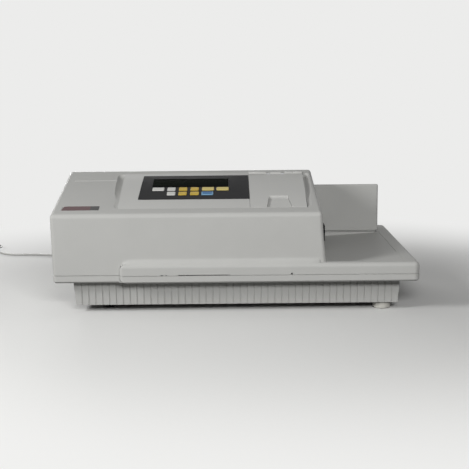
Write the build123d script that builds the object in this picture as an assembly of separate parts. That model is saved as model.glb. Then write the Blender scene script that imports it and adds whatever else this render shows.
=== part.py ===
from build123d import *
import os
from math import atan, cos, degrees, pi, radians, sin, tan

# Microplate reader: a bench instrument with a sloped control deck, a cuvette lid and a plate drawer.
# Millimetres. +X is the operator's right, +Y points to the rear, +Z is up. The origin is at the centre
# of the footprint, on the surface that the feet stand on.

# Overall envelope
width = 580.0
depth = 380.0
height = 205.0
right_x = width / 2
rear_y = depth / 2

# Housing outline
housing_front_y = -182.0
housing_rear_y = 188.0
housing_left_x = -290.0
housing_left_foot_x = -287.0
housing_right_x = 136.5
housing_right_foot_x = 146.0
housing_right_waist_x = 138.7
slope_rise = 43.8
ridge_y = 47.4
rear_fall = 22.0
front_corner_z = height + 0.2 - slope_rise
cover_wall = 3.5
edge_round = 6.0
front_round = 8.0
ridge_round = 14.0

# Lip and side platform
lip_start_x = -184.0
lip_round = 7.0
plan_round = 9.0
platform_z = 83.0
seam_z = 65.0
seam_gap = 1.2
seam_depth = 1.4
seat_gap = 0.05
lip_bottom_z = 52.5
floor_drop = 9.0
recess_front_y = -176.0
recess_right_x = 267.0
recess_floor = 3.0

# Ribbed base
skirt_left_x = -258.0
skirt_right_x = 263.0
skirt_front_y = -162.0
skirt_rear_y = 166.0
skirt_bottom_z = 12.0
skirt_draft = 4.2
skirt_wall = 3.0
groove_pitch = 11.0
groove_width = 1.6
groove_depth = 1.5
foot_radius = 14.5
foot_x = 237.0
foot_y = -140.0

# Back block beside the platform
block_gap = 2.0
block_right_x = 265.0
block_front_y = 107.0
block_top_z = 171.5
block_wall = 3.0
block_fall = 10.0
shadow_gap = 3.0

# Control deck
deck_left_front_x = -185.0
deck_left_rear_x = -190.5
deck_right_front_x = 115.8
deck_right_rear_x = 120.2
deck_front_y = -155.0
deck_rear_y = 31.0
deck_crown = 3.0
deck_wall = 3.0
deck_depth = 13.0
fit_gap = 0.4
valley_radius = 14.0
valley_depth = 6.0
valley_rear_y = 16.0

# Overlay, display and keys
overlay_left_x = -156.0
overlay_right_x = 24.4
overlay_front_y = -117.5
overlay_rear_y = 13.0
overlay_thick = 0.8
overlay_sunk = 0.4
window_left_x = -137.0
window_right_x = -9.5
window_front_y = -58.0
window_rear_y = -8.5
window_ledge = 3.0
key_back_y = -62.0
key_length = 15.0
key_row_pitch = 22.5
key_stand = 1.4
key_clearance = 0.35
upper_keys = [(-136.0, 20.4), (-111.2, 14.3), (-92.0, 14.6), (-72.8, 14.6), (-53.8, 20.8), (-29.7, 21.2)]
lower_keys = [(-110.9, 14.9), (-92.0, 14.6), (-72.8, 15.2), (-54.2, 20.2)]

# Cuvette lid and its port
lid_left_x = 25.2
lid_front_y = -153.6
lid_wall = 2.6
lid_skirt = 7.0
hinge_y = 27.0
hinge_rise = 1.2
knuckle_radius = 4.2
hinge_pin_radius = 1.5
running_gap = 0.05
knuckle_spans = [(25.6, 56.8), (88.4, 119.0)]
deck_knuckle = (63.8, 81.4)
scoop_rear_y = -104.0
scoop_depth = 3.2
port_x = 70.0
port_y = -62.0
cuvette_side = 12.6
cuvette_depth = 42.0
holder_side = 30.0

# Plate drawer
tray_left_x = 10.0
tray_right_x = 150.0
tray_front_y = -5.0
tray_rear_y = 95.0
tray_bottom_z = 95.0
tray_floor = 2.5
tray_rail = 8.0
plate_length = 128.0
plate_width = 86.0
front_plate = 6.0
drawer_in = 112.0
drawer_out = 128.0
bezel_proud = 13.0
bezel_front_y = -10.0
bezel_rear_y = 100.0
bezel_low_z = 86.0
bezel_high_z = 114.0
bezel_wall = 3.0
rod_radius = 4.0
rod_left_x = -240.0
rod_right_x = 126.0
rod_front_y = -16.0
rod_rear_y = 106.0
rod_z = 101.0
bush_length = 16.0
bush_wall = 2.0
bush_x = (-101.0, -21.0)
gear_module = 1.0
pinion_teeth = 20
pinion_tip = gear_module * (pinion_teeth / 2 + 0.85)
pinion_x = 35.0
rack_spare = 4.0
rack_left_x = pinion_x - drawer_out - rack_spare
rack_right_x = pinion_x + drawer_in + rack_spare / 2
rack_y = 1.0
rack_width = 6.0

motor_side = 34.0
motor_face_y = -30.0
tail_bar = 16.0

# Inside the housing
mono = (-248.0, -92.0, -150.0, -36.0)
mono_top = 96.0
lamp_x = -62.0
wheel_x = -86.5
wheel_axis = (-92.0, 60.0)
pan_floor_z = skirt_bottom_z + skirt_wall
head_x = 20.0
fan_side = 60.0
fan_x = -215.0
fan_z = 118.0
panel_left_x = -262.0
panel_right_x = 118.0
panel_low_z = 74.0
panel_high_z = 160.0
panel_thick = 1.5
socket_x = -120.0
socket_z = 96.0
inlet_x = 222.0
switch_x = 182.0
inlet_z = 122.0
rocker_angle = 9.0
rocker_reach = 8.6

# Badge
badge_span = (-274.0, -214.5)
badge_rows = (-161.0, -141.0)

# Interface cable
cable_radius = 2.0
coil_radius = 24.0
coil_thickness = 12.0
coil_centre = (-541.0, 402.0)
plug_end_y = housing_rear_y - cover_wall + 4.05 + 24 + 14
cable_z = cable_radius + 0.1
cable_route = [
    (socket_x, plug_end_y, socket_z), (socket_x, plug_end_y + 28, socket_z),
    (socket_x - 6, plug_end_y + 54, socket_z - 34), (socket_x - 18, plug_end_y + 72, 26.0),
    (socket_x - 44, plug_end_y + 92, cable_z), (socket_x - 86, plug_end_y + 112, cable_z),
    (-250.0, 344.0, cable_z), (-300.0, 333.0, cable_z), (-346.0, 324.0, cable_z), (-388.0, 337.0, cable_z),
    (-424.0, 345.0, cable_z), (-462.0, 342.0, cable_z), (-490.0, 362.0, cable_z), (-517.0, 391.0, cable_z)]

slope = slope_rise / (ridge_y - housing_front_y)
tooth_height = 2.25 * gear_module
pinion_radius = gear_module * pinion_teeth / 2
pinion_z = tray_bottom_z - tooth_height - 2.5 + gear_module - pinion_radius


def plane_z(y):
    """Height of the sloped top at depth y."""
    return front_corner_z + (y - housing_front_y) * slope


def crown_z(y):
    """Height of the crowned deck surface at depth y."""
    u = (y - deck_front_y) / (deck_rear_y - deck_front_y)
    return plane_z(y) + 4 * deck_crown * u * (1 - u)


def crown_tilt(y):
    """Angle in degrees by which the deck surface leans towards the front at depth y."""
    return degrees(atan((crown_z(y + 0.5) - crown_z(y - 0.5))))


def block(x0, x1, y0, y1, z0, z1):
    """Rectangular solid between two corners."""
    return Pos((x0 + x1) / 2, (y0 + y1) / 2, (z0 + z1) / 2) * Box(x1 - x0, y1 - y0, z1 - z0)


def rod(p, axis, radius, length):
    """Cylinder that starts at p and runs along an axis letter or a direction."""
    named = {"x": (1, 0, 0), "y": (0, 1, 0), "z": (0, 0, 1)}
    plane = Plane(origin=p, z_dir=named.get(axis, axis))
    return extrude(plane * Circle(radius), length)


def tube(p, axis, outer, inner, length):
    """Hollow cylinder that starts at p."""
    return rod(p, axis, outer, length) - rod(p, axis, inner, length)


def side_profile(points):
    """Face in the YZ plane from (y, z) points."""
    return Plane.YZ * make_face(Polyline(*points, close=True))


def plan_face(points, z=0.0):
    """Face in a level plane from (x, y) points."""
    return Plane.XY.offset(z) * make_face(Polyline(*points, close=True))


def near(value, target, slack=0.2):
    return abs(value - target) < slack


def solid_of(shape):
    """The one solid that a Boolean result holds."""
    solids = shape.solids()
    return max(solids, key=lambda s: s.volume)


def housing_block(inset, bottom_z):
    """Sloped housing without its lip: the long profile cut by the front view's outline."""
    top = inset / cos(atan(slope))
    profile = side_profile([
        (housing_front_y + inset, bottom_z),
        (housing_front_y + inset, front_corner_z - top + inset * slope),
        (ridge_y, plane_z(ridge_y) - top),
        (housing_rear_y - inset, height - rear_fall - top),
        (housing_rear_y - inset, bottom_z)])
    long_body = extrude(profile, width, both=True)
    left_low = (housing_left_foot_x + inset, bottom_z)
    left_high = (housing_left_x + inset, height + 5)
    right_high = (housing_right_x - inset, height + 5)
    right_low = (housing_right_foot_x - inset, bottom_z)
    waist = (housing_right_waist_x - inset, (height + bottom_z) / 2)
    outline = Plane.XZ * make_face(
        Line(left_low, left_high) + Line(left_high, right_high)
        + ThreePointArc(right_high, waist, right_low) + Line(right_low, left_low))
    return solid_of(long_body & extrude(outline, depth, both=True))


def lip_plan(inset):
    """Outline of the front lip and the side platform, seen from above."""
    x0, x1 = lip_start_x + inset, right_x - inset
    y0, y1 = -rear_y + inset, rear_y - inset
    inner_y = housing_front_y + 25
    face = plan_face([(x0, inner_y), (x0, y0), (x1, y0), (x1, y1), (housing_right_x - 20, y1),
                      (housing_right_x - 20, inner_y)])
    corners = [v for v in face.vertices() if near(abs(v.Y), y1) and (v.X < 0 or near(v.X, x1))]
    return fillet(corners, max(plan_round - inset, 1.0))


def rounded_housing():
    """Outer form of the upper cover: sloped housing, front lip and side platform."""
    body = housing_block(0, seam_z)
    ridge = [e for e in body.edges() if near(e.center().Y, ridge_y, 1) and e.center().Z > height - 2]
    body = fillet(ridge, ridge_round)
    front = [e for e in body.edges().filter_by(Axis.X)
             if near(e.center().Y, housing_front_y) and e.center().Z > platform_z]
    body = fillet(front, front_round)
    sides = [e for e in body.edges() if e.center().Z > seam_z + 2
             and (e.center().X < housing_left_x + 4 or e.center().X > housing_right_x - 2)
             and not near(e.length, 0, 0.1)]
    body = fillet(sides, edge_round)
    lip = extrude(lip_plan(0), platform_z - seam_z)
    lip = Pos(0, 0, seam_z) * lip
    top = [e for e in lip.edges() if near(e.center().Z, platform_z) and e.center().Z > seam_z
           and not (near(e.center().X, housing_right_x - 20, 1) or near(e.center().Y, housing_front_y + 25, 1))]
    lip = fillet(top, lip_round)
    return solid_of(body + lip)


def deck_plan(gap, y0, y1):
    """Deck outline seen from above, which widens slightly to the rear."""
    def at(front, rear, y):
        return front + (rear - front) * (y - deck_front_y) / (deck_rear_y - deck_front_y)
    return [(at(deck_left_front_x, deck_left_rear_x, y0) - gap, y0 - gap),
            (at(deck_right_front_x, deck_right_rear_x, y0) + gap, y0 - gap),
            (at(deck_right_front_x, deck_right_rear_x, y1) + gap, y1 + gap),
            (at(deck_left_front_x, deck_left_rear_x, y1) - gap, y1 + gap)]


def crown_solid(offset, thickness, y0=deck_front_y, y1=deck_rear_y):
    """Wide slab whose top follows the deck's crown, moved up by offset."""
    ym = (y0 + y1) / 2
    top = [(y, crown_z(y) + offset) for y in (y0, ym, y1)]
    low = [(y, z - thickness) for y, z in top]
    outline = (ThreePointArc(*top) + Line(top[2], low[2]) + ThreePointArc(*low[::-1]) + Line(low[0], top[0]))
    return extrude(Plane.YZ * make_face(outline), width, both=True)


def valley(side_x):
    """Round tool that sinks a soft groove beside the deck, deepening towards the rear."""
    steps = [(-168.0, -0.8), (-155.0, 0.0), (-119.0, 0.17), (-88.0, 0.48), (-56.0, 0.83), (-22.0, 1.0),
             (valley_rear_y, 1.0)]
    points = []
    for y, share in steps:
        u = (y - deck_front_y) / (deck_rear_y - deck_front_y)
        x = side_x[0] + (side_x[1] - side_x[0]) * u
        points.append((x, y, plane_z(y) + valley_radius - share * valley_depth))
    path = Spline(*points)
    start = Plane(origin=path @ 0, z_dir=path % 0)
    return sweep(start * Circle(valley_radius), path=path) + Pos(*points[-1]) * Sphere(valley_radius)


def make_upper_cover():
    """Upper moulding: one shell with the sloped housing, the lip and the side platform."""
    outer = rounded_housing()
    cavity = housing_block(cover_wall, seam_z - 5)
    opening_frame = extrude(plan_face(deck_plan(16.0, deck_front_y, deck_rear_y), 100), 150)
    frame_top = extrude(side_profile([(-200, plane_z(-200) - 10.5), (60, plane_z(60) - 10.5), (60, 260), (-200, 260)]),
                        width, both=True)
    cavity -= opening_frame & frame_top
    lip_room = Pos(0, 0, seam_z - 5) * extrude(lip_plan(cover_wall), platform_z - seam_z + 5 - cover_wall)
    lip_room -= block(housing_right_x - 20, right_x, recess_front_y - cover_wall, block_front_y,
                      platform_z - floor_drop - recess_floor, platform_z)
    cover = outer - cavity - lip_room
    recess_left_x = housing_right_foot_x - 6
    recess = extrude(Plane.XZ.offset(-block_front_y) * make_face(Polyline(
        (recess_left_x, platform_z - floor_drop), (recess_right_x, platform_z - 0.6),
        (recess_right_x, platform_z + 5), (recess_left_x, platform_z + 5), close=True)),
        block_front_y - recess_front_y)
    side_wall = block(recess_left_x - 5, housing_right_x + 20, -rear_y, rear_y, 0, height) & housing_block(0, seam_z)
    cover -= recess - side_wall
    cover -= extrude(plan_face(deck_plan(fit_gap, deck_front_y, deck_rear_y), 100), 150)
    cover -= valley((deck_left_front_x - 1.5, deck_left_rear_x))
    cover -= valley((deck_right_front_x + 1.5, deck_right_rear_x))
    cover -= block(housing_right_x - 30, housing_right_x + 20, bezel_front_y, bezel_rear_y, bezel_low_z, bezel_high_z)
    cover -= block(panel_left_x, panel_right_x, housing_rear_y - 12, housing_rear_y + 3, panel_low_z, panel_high_z)
    cover -= block(housing_right_foot_x + block_gap + 12, block_right_x - 12, block_front_y + 12, rear_y - 14,
                   seam_z - 5, platform_z + 2)
    cover -= block(badge_span[0], badge_span[1], badge_rows[0], badge_rows[1], 0, 300) & top_skin(0.8)
    return solid_of(cover)


def top_skin(thickness, lift=0.0):
    """Wide sheet that lies in the sloped top, from its surface down by thickness."""
    return extrude(side_profile([(-200, plane_z(-200) + lift), (60, plane_z(60) + lift),
                                 (60, plane_z(60) + lift - thickness), (-200, plane_z(-200) + lift - thickness)]),
                   width, both=True)


def make_badge():
    """Bare slanted inlay plate near the left front of the sloped top."""
    g = 0.3
    x0, x1 = badge_span
    y0, y1 = badge_rows
    face = plan_face([(x0 + g, y0 + g), (x1 - g, y0 + g), (x1 - g, y1 - g), (x0 + 2.5, y1 - g)])
    return solid_of(extrude(face, 300) & top_skin(0.9, 0.1))


def cover_slab(inset, z0, z1):
    """Level slab with the covers' common outline, from z0 to z1."""
    hull = plan_face([(housing_left_foot_x + inset, housing_front_y + inset),
                      (housing_right_foot_x - inset, housing_front_y + inset),
                      (housing_right_foot_x - inset, housing_rear_y - inset),
                      (housing_left_foot_x + inset, housing_rear_y - inset)])
    hull = fillet([v for v in hull.vertices() if v.X < 0], edge_round - inset / 2)
    return Pos(0, 0, z0) * (extrude(hull, z1 - z0) + extrude(lip_plan(inset), z1 - z0))


def make_lower_cover():
    """Lower moulding: the lip's lower half, a seam groove and a flange that carries the ribbed base."""
    tray = solid_of(cover_slab(0, lip_bottom_z, seam_z - seat_gap))
    bottom = [e for e in tray.edges() if near(e.center().Z, lip_bottom_z)]
    tray = chamfer(bottom, 2.5)
    tray -= cover_slab(0, seam_z - seam_gap, seam_z) - cover_slab(seam_depth, seam_z - seam_gap, seam_z)
    tray -= cover_slab(cover_wall, lip_bottom_z + cover_wall, seam_z)
    tray -= block(housing_right_foot_x - 8, right_x - cover_wall - 4, housing_front_y + 6, rear_y - cover_wall - 4,
                  lip_bottom_z + cover_wall, seam_z)
    tray -= block(skirt_left_x + 6, skirt_right_x - 6, skirt_front_y + 6, skirt_rear_y - 6, 0, seam_z)
    return solid_of(tray)


def make_base_pan():
    """Base with drafted, vertically grooved walls and a floor on which the inner parts stand."""
    tall = lip_bottom_z - skirt_bottom_z
    shrink = tall * tan(radians(skirt_draft))

    def rim(inset, z):
        return Plane.XY.offset(z) * Pos((skirt_left_x + skirt_right_x) / 2, (skirt_front_y + skirt_rear_y) / 2) \
            * Rectangle(skirt_right_x - skirt_left_x - 2 * inset, skirt_rear_y - skirt_front_y - 2 * inset)

    outer = loft([rim(shrink, skirt_bottom_z), rim(0, lip_bottom_z)], ruled=True)
    inner = loft([rim(shrink + skirt_wall, pan_floor_z), rim(skirt_wall, lip_bottom_z + 0.01)], ruled=True)
    pan = outer - inner
    grooves = []
    spread = skirt_right_x - skirt_left_x
    count = int((spread - 8) / groove_pitch)
    first_x = (skirt_left_x + skirt_right_x) / 2 - groove_pitch * (count - 1) / 2
    lean = degrees(atan(shrink / tall))
    for i in range(count):
        x = first_x + i * groove_pitch
        for y, sign in ((skirt_front_y, 1), (skirt_rear_y, -1)):
            cutter = Rot(sign * lean, 0, 0) * Box(groove_width, 2 * groove_depth, 2 * tall)
            grooves.append(Pos(x, y, lip_bottom_z) * cutter)
    rows = int((skirt_rear_y - skirt_front_y - 8) / groove_pitch)
    first_y = (skirt_front_y + skirt_rear_y) / 2 - groove_pitch * (rows - 1) / 2
    for i in range(rows):
        y = first_y + i * groove_pitch
        for x, sign in ((skirt_left_x, -1), (skirt_right_x, 1)):
            cutter = Rot(0, sign * lean, 0) * Box(2 * groove_depth, groove_width, 2 * tall)
            grooves.append(Pos(x, y, lip_bottom_z) * cutter)
    return solid_of(pan.cut(*[g.solid() for g in grooves]))


def make_rear_block():
    """Box beside the platform that covers the supply; it stands on a plinth with a shadow gap."""
    low = platform_z + shadow_gap
    profile = side_profile([(block_front_y, low), (block_front_y, block_top_z),
                            (housing_rear_y, block_top_z - block_fall), (housing_rear_y, low)])
    outer = extrude(profile, width, both=True) & block(housing_right_x - 10, block_right_x, 0, rear_y, 0, height)
    edges = [e for e in outer.edges() if e.center().Z > low + 1 and e.center().X > housing_right_x
             and not near(e.center().X, housing_right_x - 10, 1)]
    outer = fillet(edges, 3.0)
    plinth = block(housing_right_x - 10, block_right_x - 4, block_front_y + 4, housing_rear_y - 4,
                   platform_z + 0.05, low + 6)
    room = extrude(side_profile([
        (block_front_y + block_wall, 0), (block_front_y + block_wall, block_top_z - block_wall),
        (housing_rear_y - block_wall, block_top_z - block_fall - block_wall), (housing_rear_y - block_wall, 0)]),
        width, both=True)
    left = housing_right_foot_x + block_gap + block_wall
    room = room & block(left, block_right_x - block_wall, 0, rear_y, low + 6, height)
    neck = block(left + 9, block_right_x - 4 - block_wall, block_front_y + 4 + block_wall,
                 housing_rear_y - 4 - block_wall, 0, height / 2)
    shell = outer + plinth - room - neck - housing_block(-block_gap, seam_z - 5)
    shell -= block(inlet_x - 14, inlet_x + 14, housing_rear_y - 10, rear_y, inlet_z - 10.5, inlet_z + 10.5)
    shell -= block(switch_x - 7, switch_x + 7, housing_rear_y - 10, rear_y, inlet_z - 11, inlet_z + 11)
    return solid_of(shell)


def make_rear_panel():
    """Sheet panel behind the rear opening, with the fan's slots and the cable socket's cut-out."""
    y0 = housing_rear_y - cover_wall - panel_thick
    lap = 5.0
    panel = block(panel_left_x - lap, panel_right_x + lap, y0, y0 + panel_thick, panel_low_z - lap, panel_high_z + lap)
    slot_pitch = 6.0
    reach = fan_side / 2 - 3
    for i in range(-4, 5):
        x = i * slot_pitch
        half = (reach ** 2 - x ** 2) ** 0.5
        panel -= block(fan_x + x - 1.5, fan_x + x + 1.5, y0 - 1, y0 + panel_thick + 1, fan_z - half, fan_z + half)
    panel -= block(socket_x - 10, socket_x + 10, y0 - 1, y0 + panel_thick + 1, socket_z - 6, socket_z + 6)
    return solid_of(panel)


def key_plane(x, y, lift=0.0):
    """Plane on the deck surface at (x, y), raised along the local normal."""
    tilt = radians(crown_tilt(y))
    normal = Vector(0, -sin(tilt), cos(tilt))
    origin = Vector(x, y, crown_z(y)) + normal * lift
    return Plane(origin=origin, x_dir=(1, 0, 0), z_dir=normal)


def key_list():
    """Centre and width of each key, upper row first."""
    rows = ((upper_keys, key_back_y), (lower_keys, key_back_y - key_row_pitch))
    return [(x + w / 2, back - key_length / 2, w) for keys, back in rows for x, w in keys]


def key_prism(x, y, w, grow, low, high):
    """Rounded prism along the local normal at a key's place."""
    base = key_plane(x, y, low)
    face = base * RectangleRounded(w - 1.0 + 2 * grow, key_length - 1.0 + 2 * grow, 1.5 + grow)
    return extrude(face, high - low)


def make_key(x, y, w):
    """Key cap with a softened top, on a stem plate that reaches under the deck."""
    top = overlay_thick - overlay_sunk + key_stand
    cap = key_prism(x, y, w, 0, -deck_wall - 1.0, top)
    normal = key_plane(x, y).z_dir
    rim = cap.faces().sort_by(lambda f: f.center().dot(normal))[-1].edges()
    return solid_of(fillet(rim, 0.5))


def key_holes():
    """Clearance prisms for all keys."""
    return [key_prism(x, y, w, key_clearance, -12, 8) for x, y, w in key_list()]


def make_control_deck():
    """Crowned deck with the key field on the left and the sunk cuvette port under the lid."""
    plan = extrude(plan_face(deck_plan(0, deck_front_y, deck_rear_y)), 300)
    room = extrude(plan_face(deck_plan(-deck_wall, deck_front_y, deck_rear_y)), 300)
    deck = crown_solid(0, deck_depth) & plan
    lid_zone = block(lid_left_x - fit_gap, right_x, -rear_y, rear_y, 0, 300)
    shelf_drop = lid_skirt + 1.0
    lid_room = extrude(plan_face(deck_plan(1, lid_front_y + 1 - fit_gap, deck_rear_y + 1)), 300)
    deck -= crown_solid(40, 40 + shelf_drop, lid_front_y - fit_gap, deck_rear_y + 5) & lid_zone & lid_room
    deck -= crown_solid(-deck_wall, 30) & room & block(-right_x, lid_left_x - deck_wall, -rear_y, rear_y, 0, 300)
    deck -= crown_solid(-shelf_drop - deck_wall, 30) & room & block(lid_left_x, right_x, -rear_y, rear_y, 0, 300)
    x0, x1 = deck_knuckle
    z = hinge_z()
    boss = rod((x0, hinge_y, z), "x", knuckle_radius, x1 - x0)
    boss += block(x0, x1, hinge_y - 3, hinge_y + 3, z - 11, z)
    deck += boss
    deck -= rod((x0 - 1, hinge_y, z), "x", hinge_pin_radius + running_gap, x1 - x0 + 2)
    half = holder_side / 2 + fit_gap
    deck -= block(port_x - half, port_x + half, port_y - half, port_y + half, 100, height)
    deck -= crown_solid(5, 5 + overlay_sunk) & overlay_plan(0.2)
    deck -= window_plan(-window_ledge)
    for hole in key_holes():
        deck -= hole
    return solid_of(deck)


def hinge_z():
    """Height of the lid's hinge axis."""
    return crown_z(hinge_y) - 2.8 + hinge_rise


def overlay_plan(grow):
    """Tall prism over the overlay's outline."""
    return block(overlay_left_x - grow, overlay_right_x + grow, overlay_front_y - grow, overlay_rear_y + grow, 0, 300)


def window_plan(grow):
    """Tall prism over the display window's outline."""
    return block(window_left_x - grow, window_right_x + grow, window_front_y - grow, window_rear_y + grow, 0, 300)


def make_overlay():
    """Dark sheet around the keys and the display window."""
    sheet = crown_solid(overlay_thick - overlay_sunk, overlay_thick - 0.02) & overlay_plan(0)
    sheet -= window_plan(0.2)
    for hole in key_holes():
        sheet -= hole
    return solid_of(sheet)


def make_window():
    """Clear window over the display."""
    return solid_of(crown_solid(overlay_thick - overlay_sunk + 0.1, overlay_thick) & window_plan(0))


def make_display():
    """Display module below the window."""
    return solid_of(top_skin(7.6, -0.5) & window_plan(-window_ledge - fit_gap + 0.1))


def make_key_board():
    """Circuit board that carries the display and the key switches."""
    board = top_skin(1.6, -8.1) & block(overlay_left_x + 4, overlay_right_x - 4, overlay_front_y + 4,
                                        overlay_rear_y - 4, 0, 300)
    return solid_of(board)


def make_lid():
    """Crowned lid with a finger scoop at its front and hinge knuckles at its rear."""
    right_gap = 0.6
    outline = deck_plan(-right_gap, lid_front_y + right_gap, hinge_y - right_gap)
    plan = extrude(plan_face(outline), 300) & block(lid_left_x, right_x, lid_front_y, hinge_y, 0, 300)
    inner = extrude(plan_face(deck_plan(-right_gap - lid_wall, lid_front_y + right_gap, hinge_y)), 300)
    inner = inner & block(lid_left_x + lid_wall, right_x, lid_front_y + lid_wall, hinge_y - 8, 0, 300)
    lid = crown_solid(0, lid_skirt) & plan
    lid -= crown_solid(-lid_wall, 30) & inner
    half_back, half_front, mid = 15.5, 20.5, 72.0
    scoop_face = plan_face([(mid - half_back, scoop_rear_y), (mid - half_front, lid_front_y - 1),
                            (mid + half_front, lid_front_y - 1), (mid + half_back, scoop_rear_y)])
    scoop = extrude(scoop_face, 300)
    front, back = lid_front_y - 2, scoop_rear_y
    dip = extrude(side_profile([
        (back + 2, crown_z(back + 2)), (back - 5, crown_z(back - 5) - scoop_depth),
        (front + 10, crown_z(front + 10) - scoop_depth), (front, crown_z(front) - scoop_depth - 1.2),
        (front, crown_z(front) + 9), (back + 2, crown_z(back + 2) + 9)]), width, both=True)
    tab = extrude(side_profile([
        (back + 4, crown_z(back + 4)), (back - 5, crown_z(back - 5) - scoop_depth),
        (front + 10, crown_z(front + 10) - scoop_depth), (lid_front_y, crown_z(front) - scoop_depth - 0.8),
        (lid_front_y, crown_z(front) - scoop_depth - 2.8), (front + 10, crown_z(front + 10) - scoop_depth - 2),
        (back - 6, crown_z(back - 5) - scoop_depth - 2), (back + 4, crown_z(back + 4) - 2)]), width, both=True)
    lid -= scoop & dip
    lid += tab & scoop & plan
    z = hinge_z()
    x0, x1 = knuckle_spans[0][1], knuckle_spans[1][0]
    lid -= block(x0, x1, hinge_y - knuckle_radius - 1.0, hinge_y + 5, 0, 300)
    lid -= block(0, right_x, hinge_y - 4.5, hinge_y + 10, 0, z - 0.5)
    for a, b in knuckle_spans:
        lid += rod((a, hinge_y, z), "x", knuckle_radius, b - a)
        lid -= rod((a - 1, hinge_y, z), "x", hinge_pin_radius + running_gap, b - a + 2)
    return solid_of(lid)


def make_hinge_pin():
    """Pin through the lid's and the deck's knuckles."""
    a, b = knuckle_spans[0][0] + 0.4, knuckle_spans[1][1] - 0.4
    return rod((a, hinge_y, hinge_z()), "x", hinge_pin_radius, b - a)


def make_cuvette_holder():
    """Square well for a cuvette, with a light window through two of its sides."""
    top = crown_z(port_y) - lid_skirt - 1.0 + 1.0
    half = holder_side / 2
    body = block(port_x - half, port_x + half, port_y - half, port_y + half, top - cuvette_depth - 5, top)
    body = fillet(body.edges().filter_by(Axis.Z), 2.0)
    c = cuvette_side / 2
    body -= block(port_x - c, port_x + c, port_y - c, port_y + c, top - cuvette_depth, top + 1)
    body -= rod((port_x - half - 1, port_y, top - cuvette_depth + 12), "x", 3.0, holder_side + 2)
    return solid_of(body)


def make_bezel():
    """Dark frame round the drawer's way out, which stands proud of the side wall."""
    outer_x = housing_right_foot_x - 2 + bezel_proud
    g = fit_gap
    frame = block(housing_right_x - 8, outer_x, bezel_front_y + g, bezel_rear_y - g, bezel_low_z + g, bezel_high_z - g)
    frame = fillet(frame.edges().filter_by(Axis.X), 2.0)
    w = bezel_wall
    frame -= block(0, outer_x + 1, bezel_front_y + g + w, bezel_rear_y - g - w, bezel_low_z + g + w - 0.4,
                   bezel_high_z - g - w)
    return solid_of(frame)


def make_tray():
    """Drawer carriage: a framed pocket for a plate with a long tail that runs on two rods."""
    z0, z1 = tray_bottom_z, tray_bottom_z + tray_rail
    tray = block(tray_left_x, tray_right_x, tray_front_y, tray_rear_y, z0, z1)
    cx = (tray_left_x + tray_right_x) / 2
    cy = (tray_front_y + tray_rear_y) / 2
    pocket = Pos(cx, cy, z0 + tray_floor) * extrude(RectangleRounded(plate_length, plate_width, 3.0), 20)
    window = Pos(cx, cy, z0 - 1) * extrude(RectangleRounded(plate_length - 14, plate_width - 14, 3.0), 20)
    tray -= pocket
    tray -= window
    grip = block(cx - 14, cx + 14, tray_front_y - 1, tray_front_y + 8, z0 + tray_floor, z1 + 1)
    tray -= grip
    rail_y = (rod_front_y, rod_rear_y)
    outer = rod_radius + bush_wall + 3
    tail_left = bush_x[0] - bush_length / 2 - 4
    tail_right = bush_x[1] + bush_length / 2
    for y in rail_y:
        tray += block(tail_left, tail_right, y - outer, y + outer, rod_z - 6, rod_z - 2)
        for x in bush_x:
            tray += rod((x - bush_length / 2, y, rod_z), "x", outer, bush_length)
    for x in (tail_left, tail_right - tail_bar):
        tray += block(x, x + tail_bar, rod_front_y, rod_rear_y, rod_z - 6, rod_z - 2)
    tray += block(tail_right - tail_bar, tray_left_x + 4, tray_front_y, tray_rear_y, rod_z - 6, rod_z - 2)
    tray += block(rack_left_x, tray_left_x + 4, rack_y - 1, rack_y + rack_width + 3, tray_bottom_z, rod_z - 2)
    for y in rail_y:
        tray -= rod((tail_left - 5, y, rod_z), "x", rod_radius + bush_wall, tray_left_x - tail_left + 20)
    return solid_of(tray)


def make_drawer_front():
    """Dark end plate of the drawer, which closes the frame at rest."""
    g = 1.0
    w = bezel_wall + fit_gap + g
    plate = block(tray_right_x, tray_right_x + front_plate, bezel_front_y + w, bezel_rear_y - w,
                  bezel_low_z + w - 0.4, bezel_high_z - w)
    plate = fillet(plate.edges().filter_by(Axis.X), 1.5)
    relief = block(tray_right_x - 1, tray_right_x + front_plate + 1, rack_y - 1, rack_y + rack_width + 1,
                   bezel_low_z, pinion_z + pinion_tip + 0.7)
    return solid_of(plate - relief)


def make_bushes():
    """Plain bushes in the carriage, one at each end of the tail on both rods."""
    g = running_gap
    return Compound([tube((x - bush_length / 2, y, rod_z), "x", rod_radius + bush_wall, rod_radius + g, bush_length)
                     for x in bush_x for y in (rod_front_y, rod_rear_y)])


def make_rods():
    """Guide rods for the carriage."""
    return Compound([rod((rod_left_x, y, rod_z), "x", rod_radius, rod_right_x - rod_left_x)
                     for y in (rod_front_y, rod_rear_y)])


def make_rod_posts():
    """Posts that hold the rods' ends above the base floor."""
    posts = []
    for x in (rod_left_x, rod_right_x - 10):
        for y in (rod_front_y, rod_rear_y):
            post = block(x, x + 10, y - 9, y + 9, pan_floor_z, rod_z + 9)
            post += block(x - 6, x + 16, y - 13, y + 13, pan_floor_z, pan_floor_z + 5)
            post -= rod((x - 1, y, rod_z), "x", rod_radius + running_gap, 12)
            posts.append(solid_of(post))
    return Compound(posts)


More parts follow.
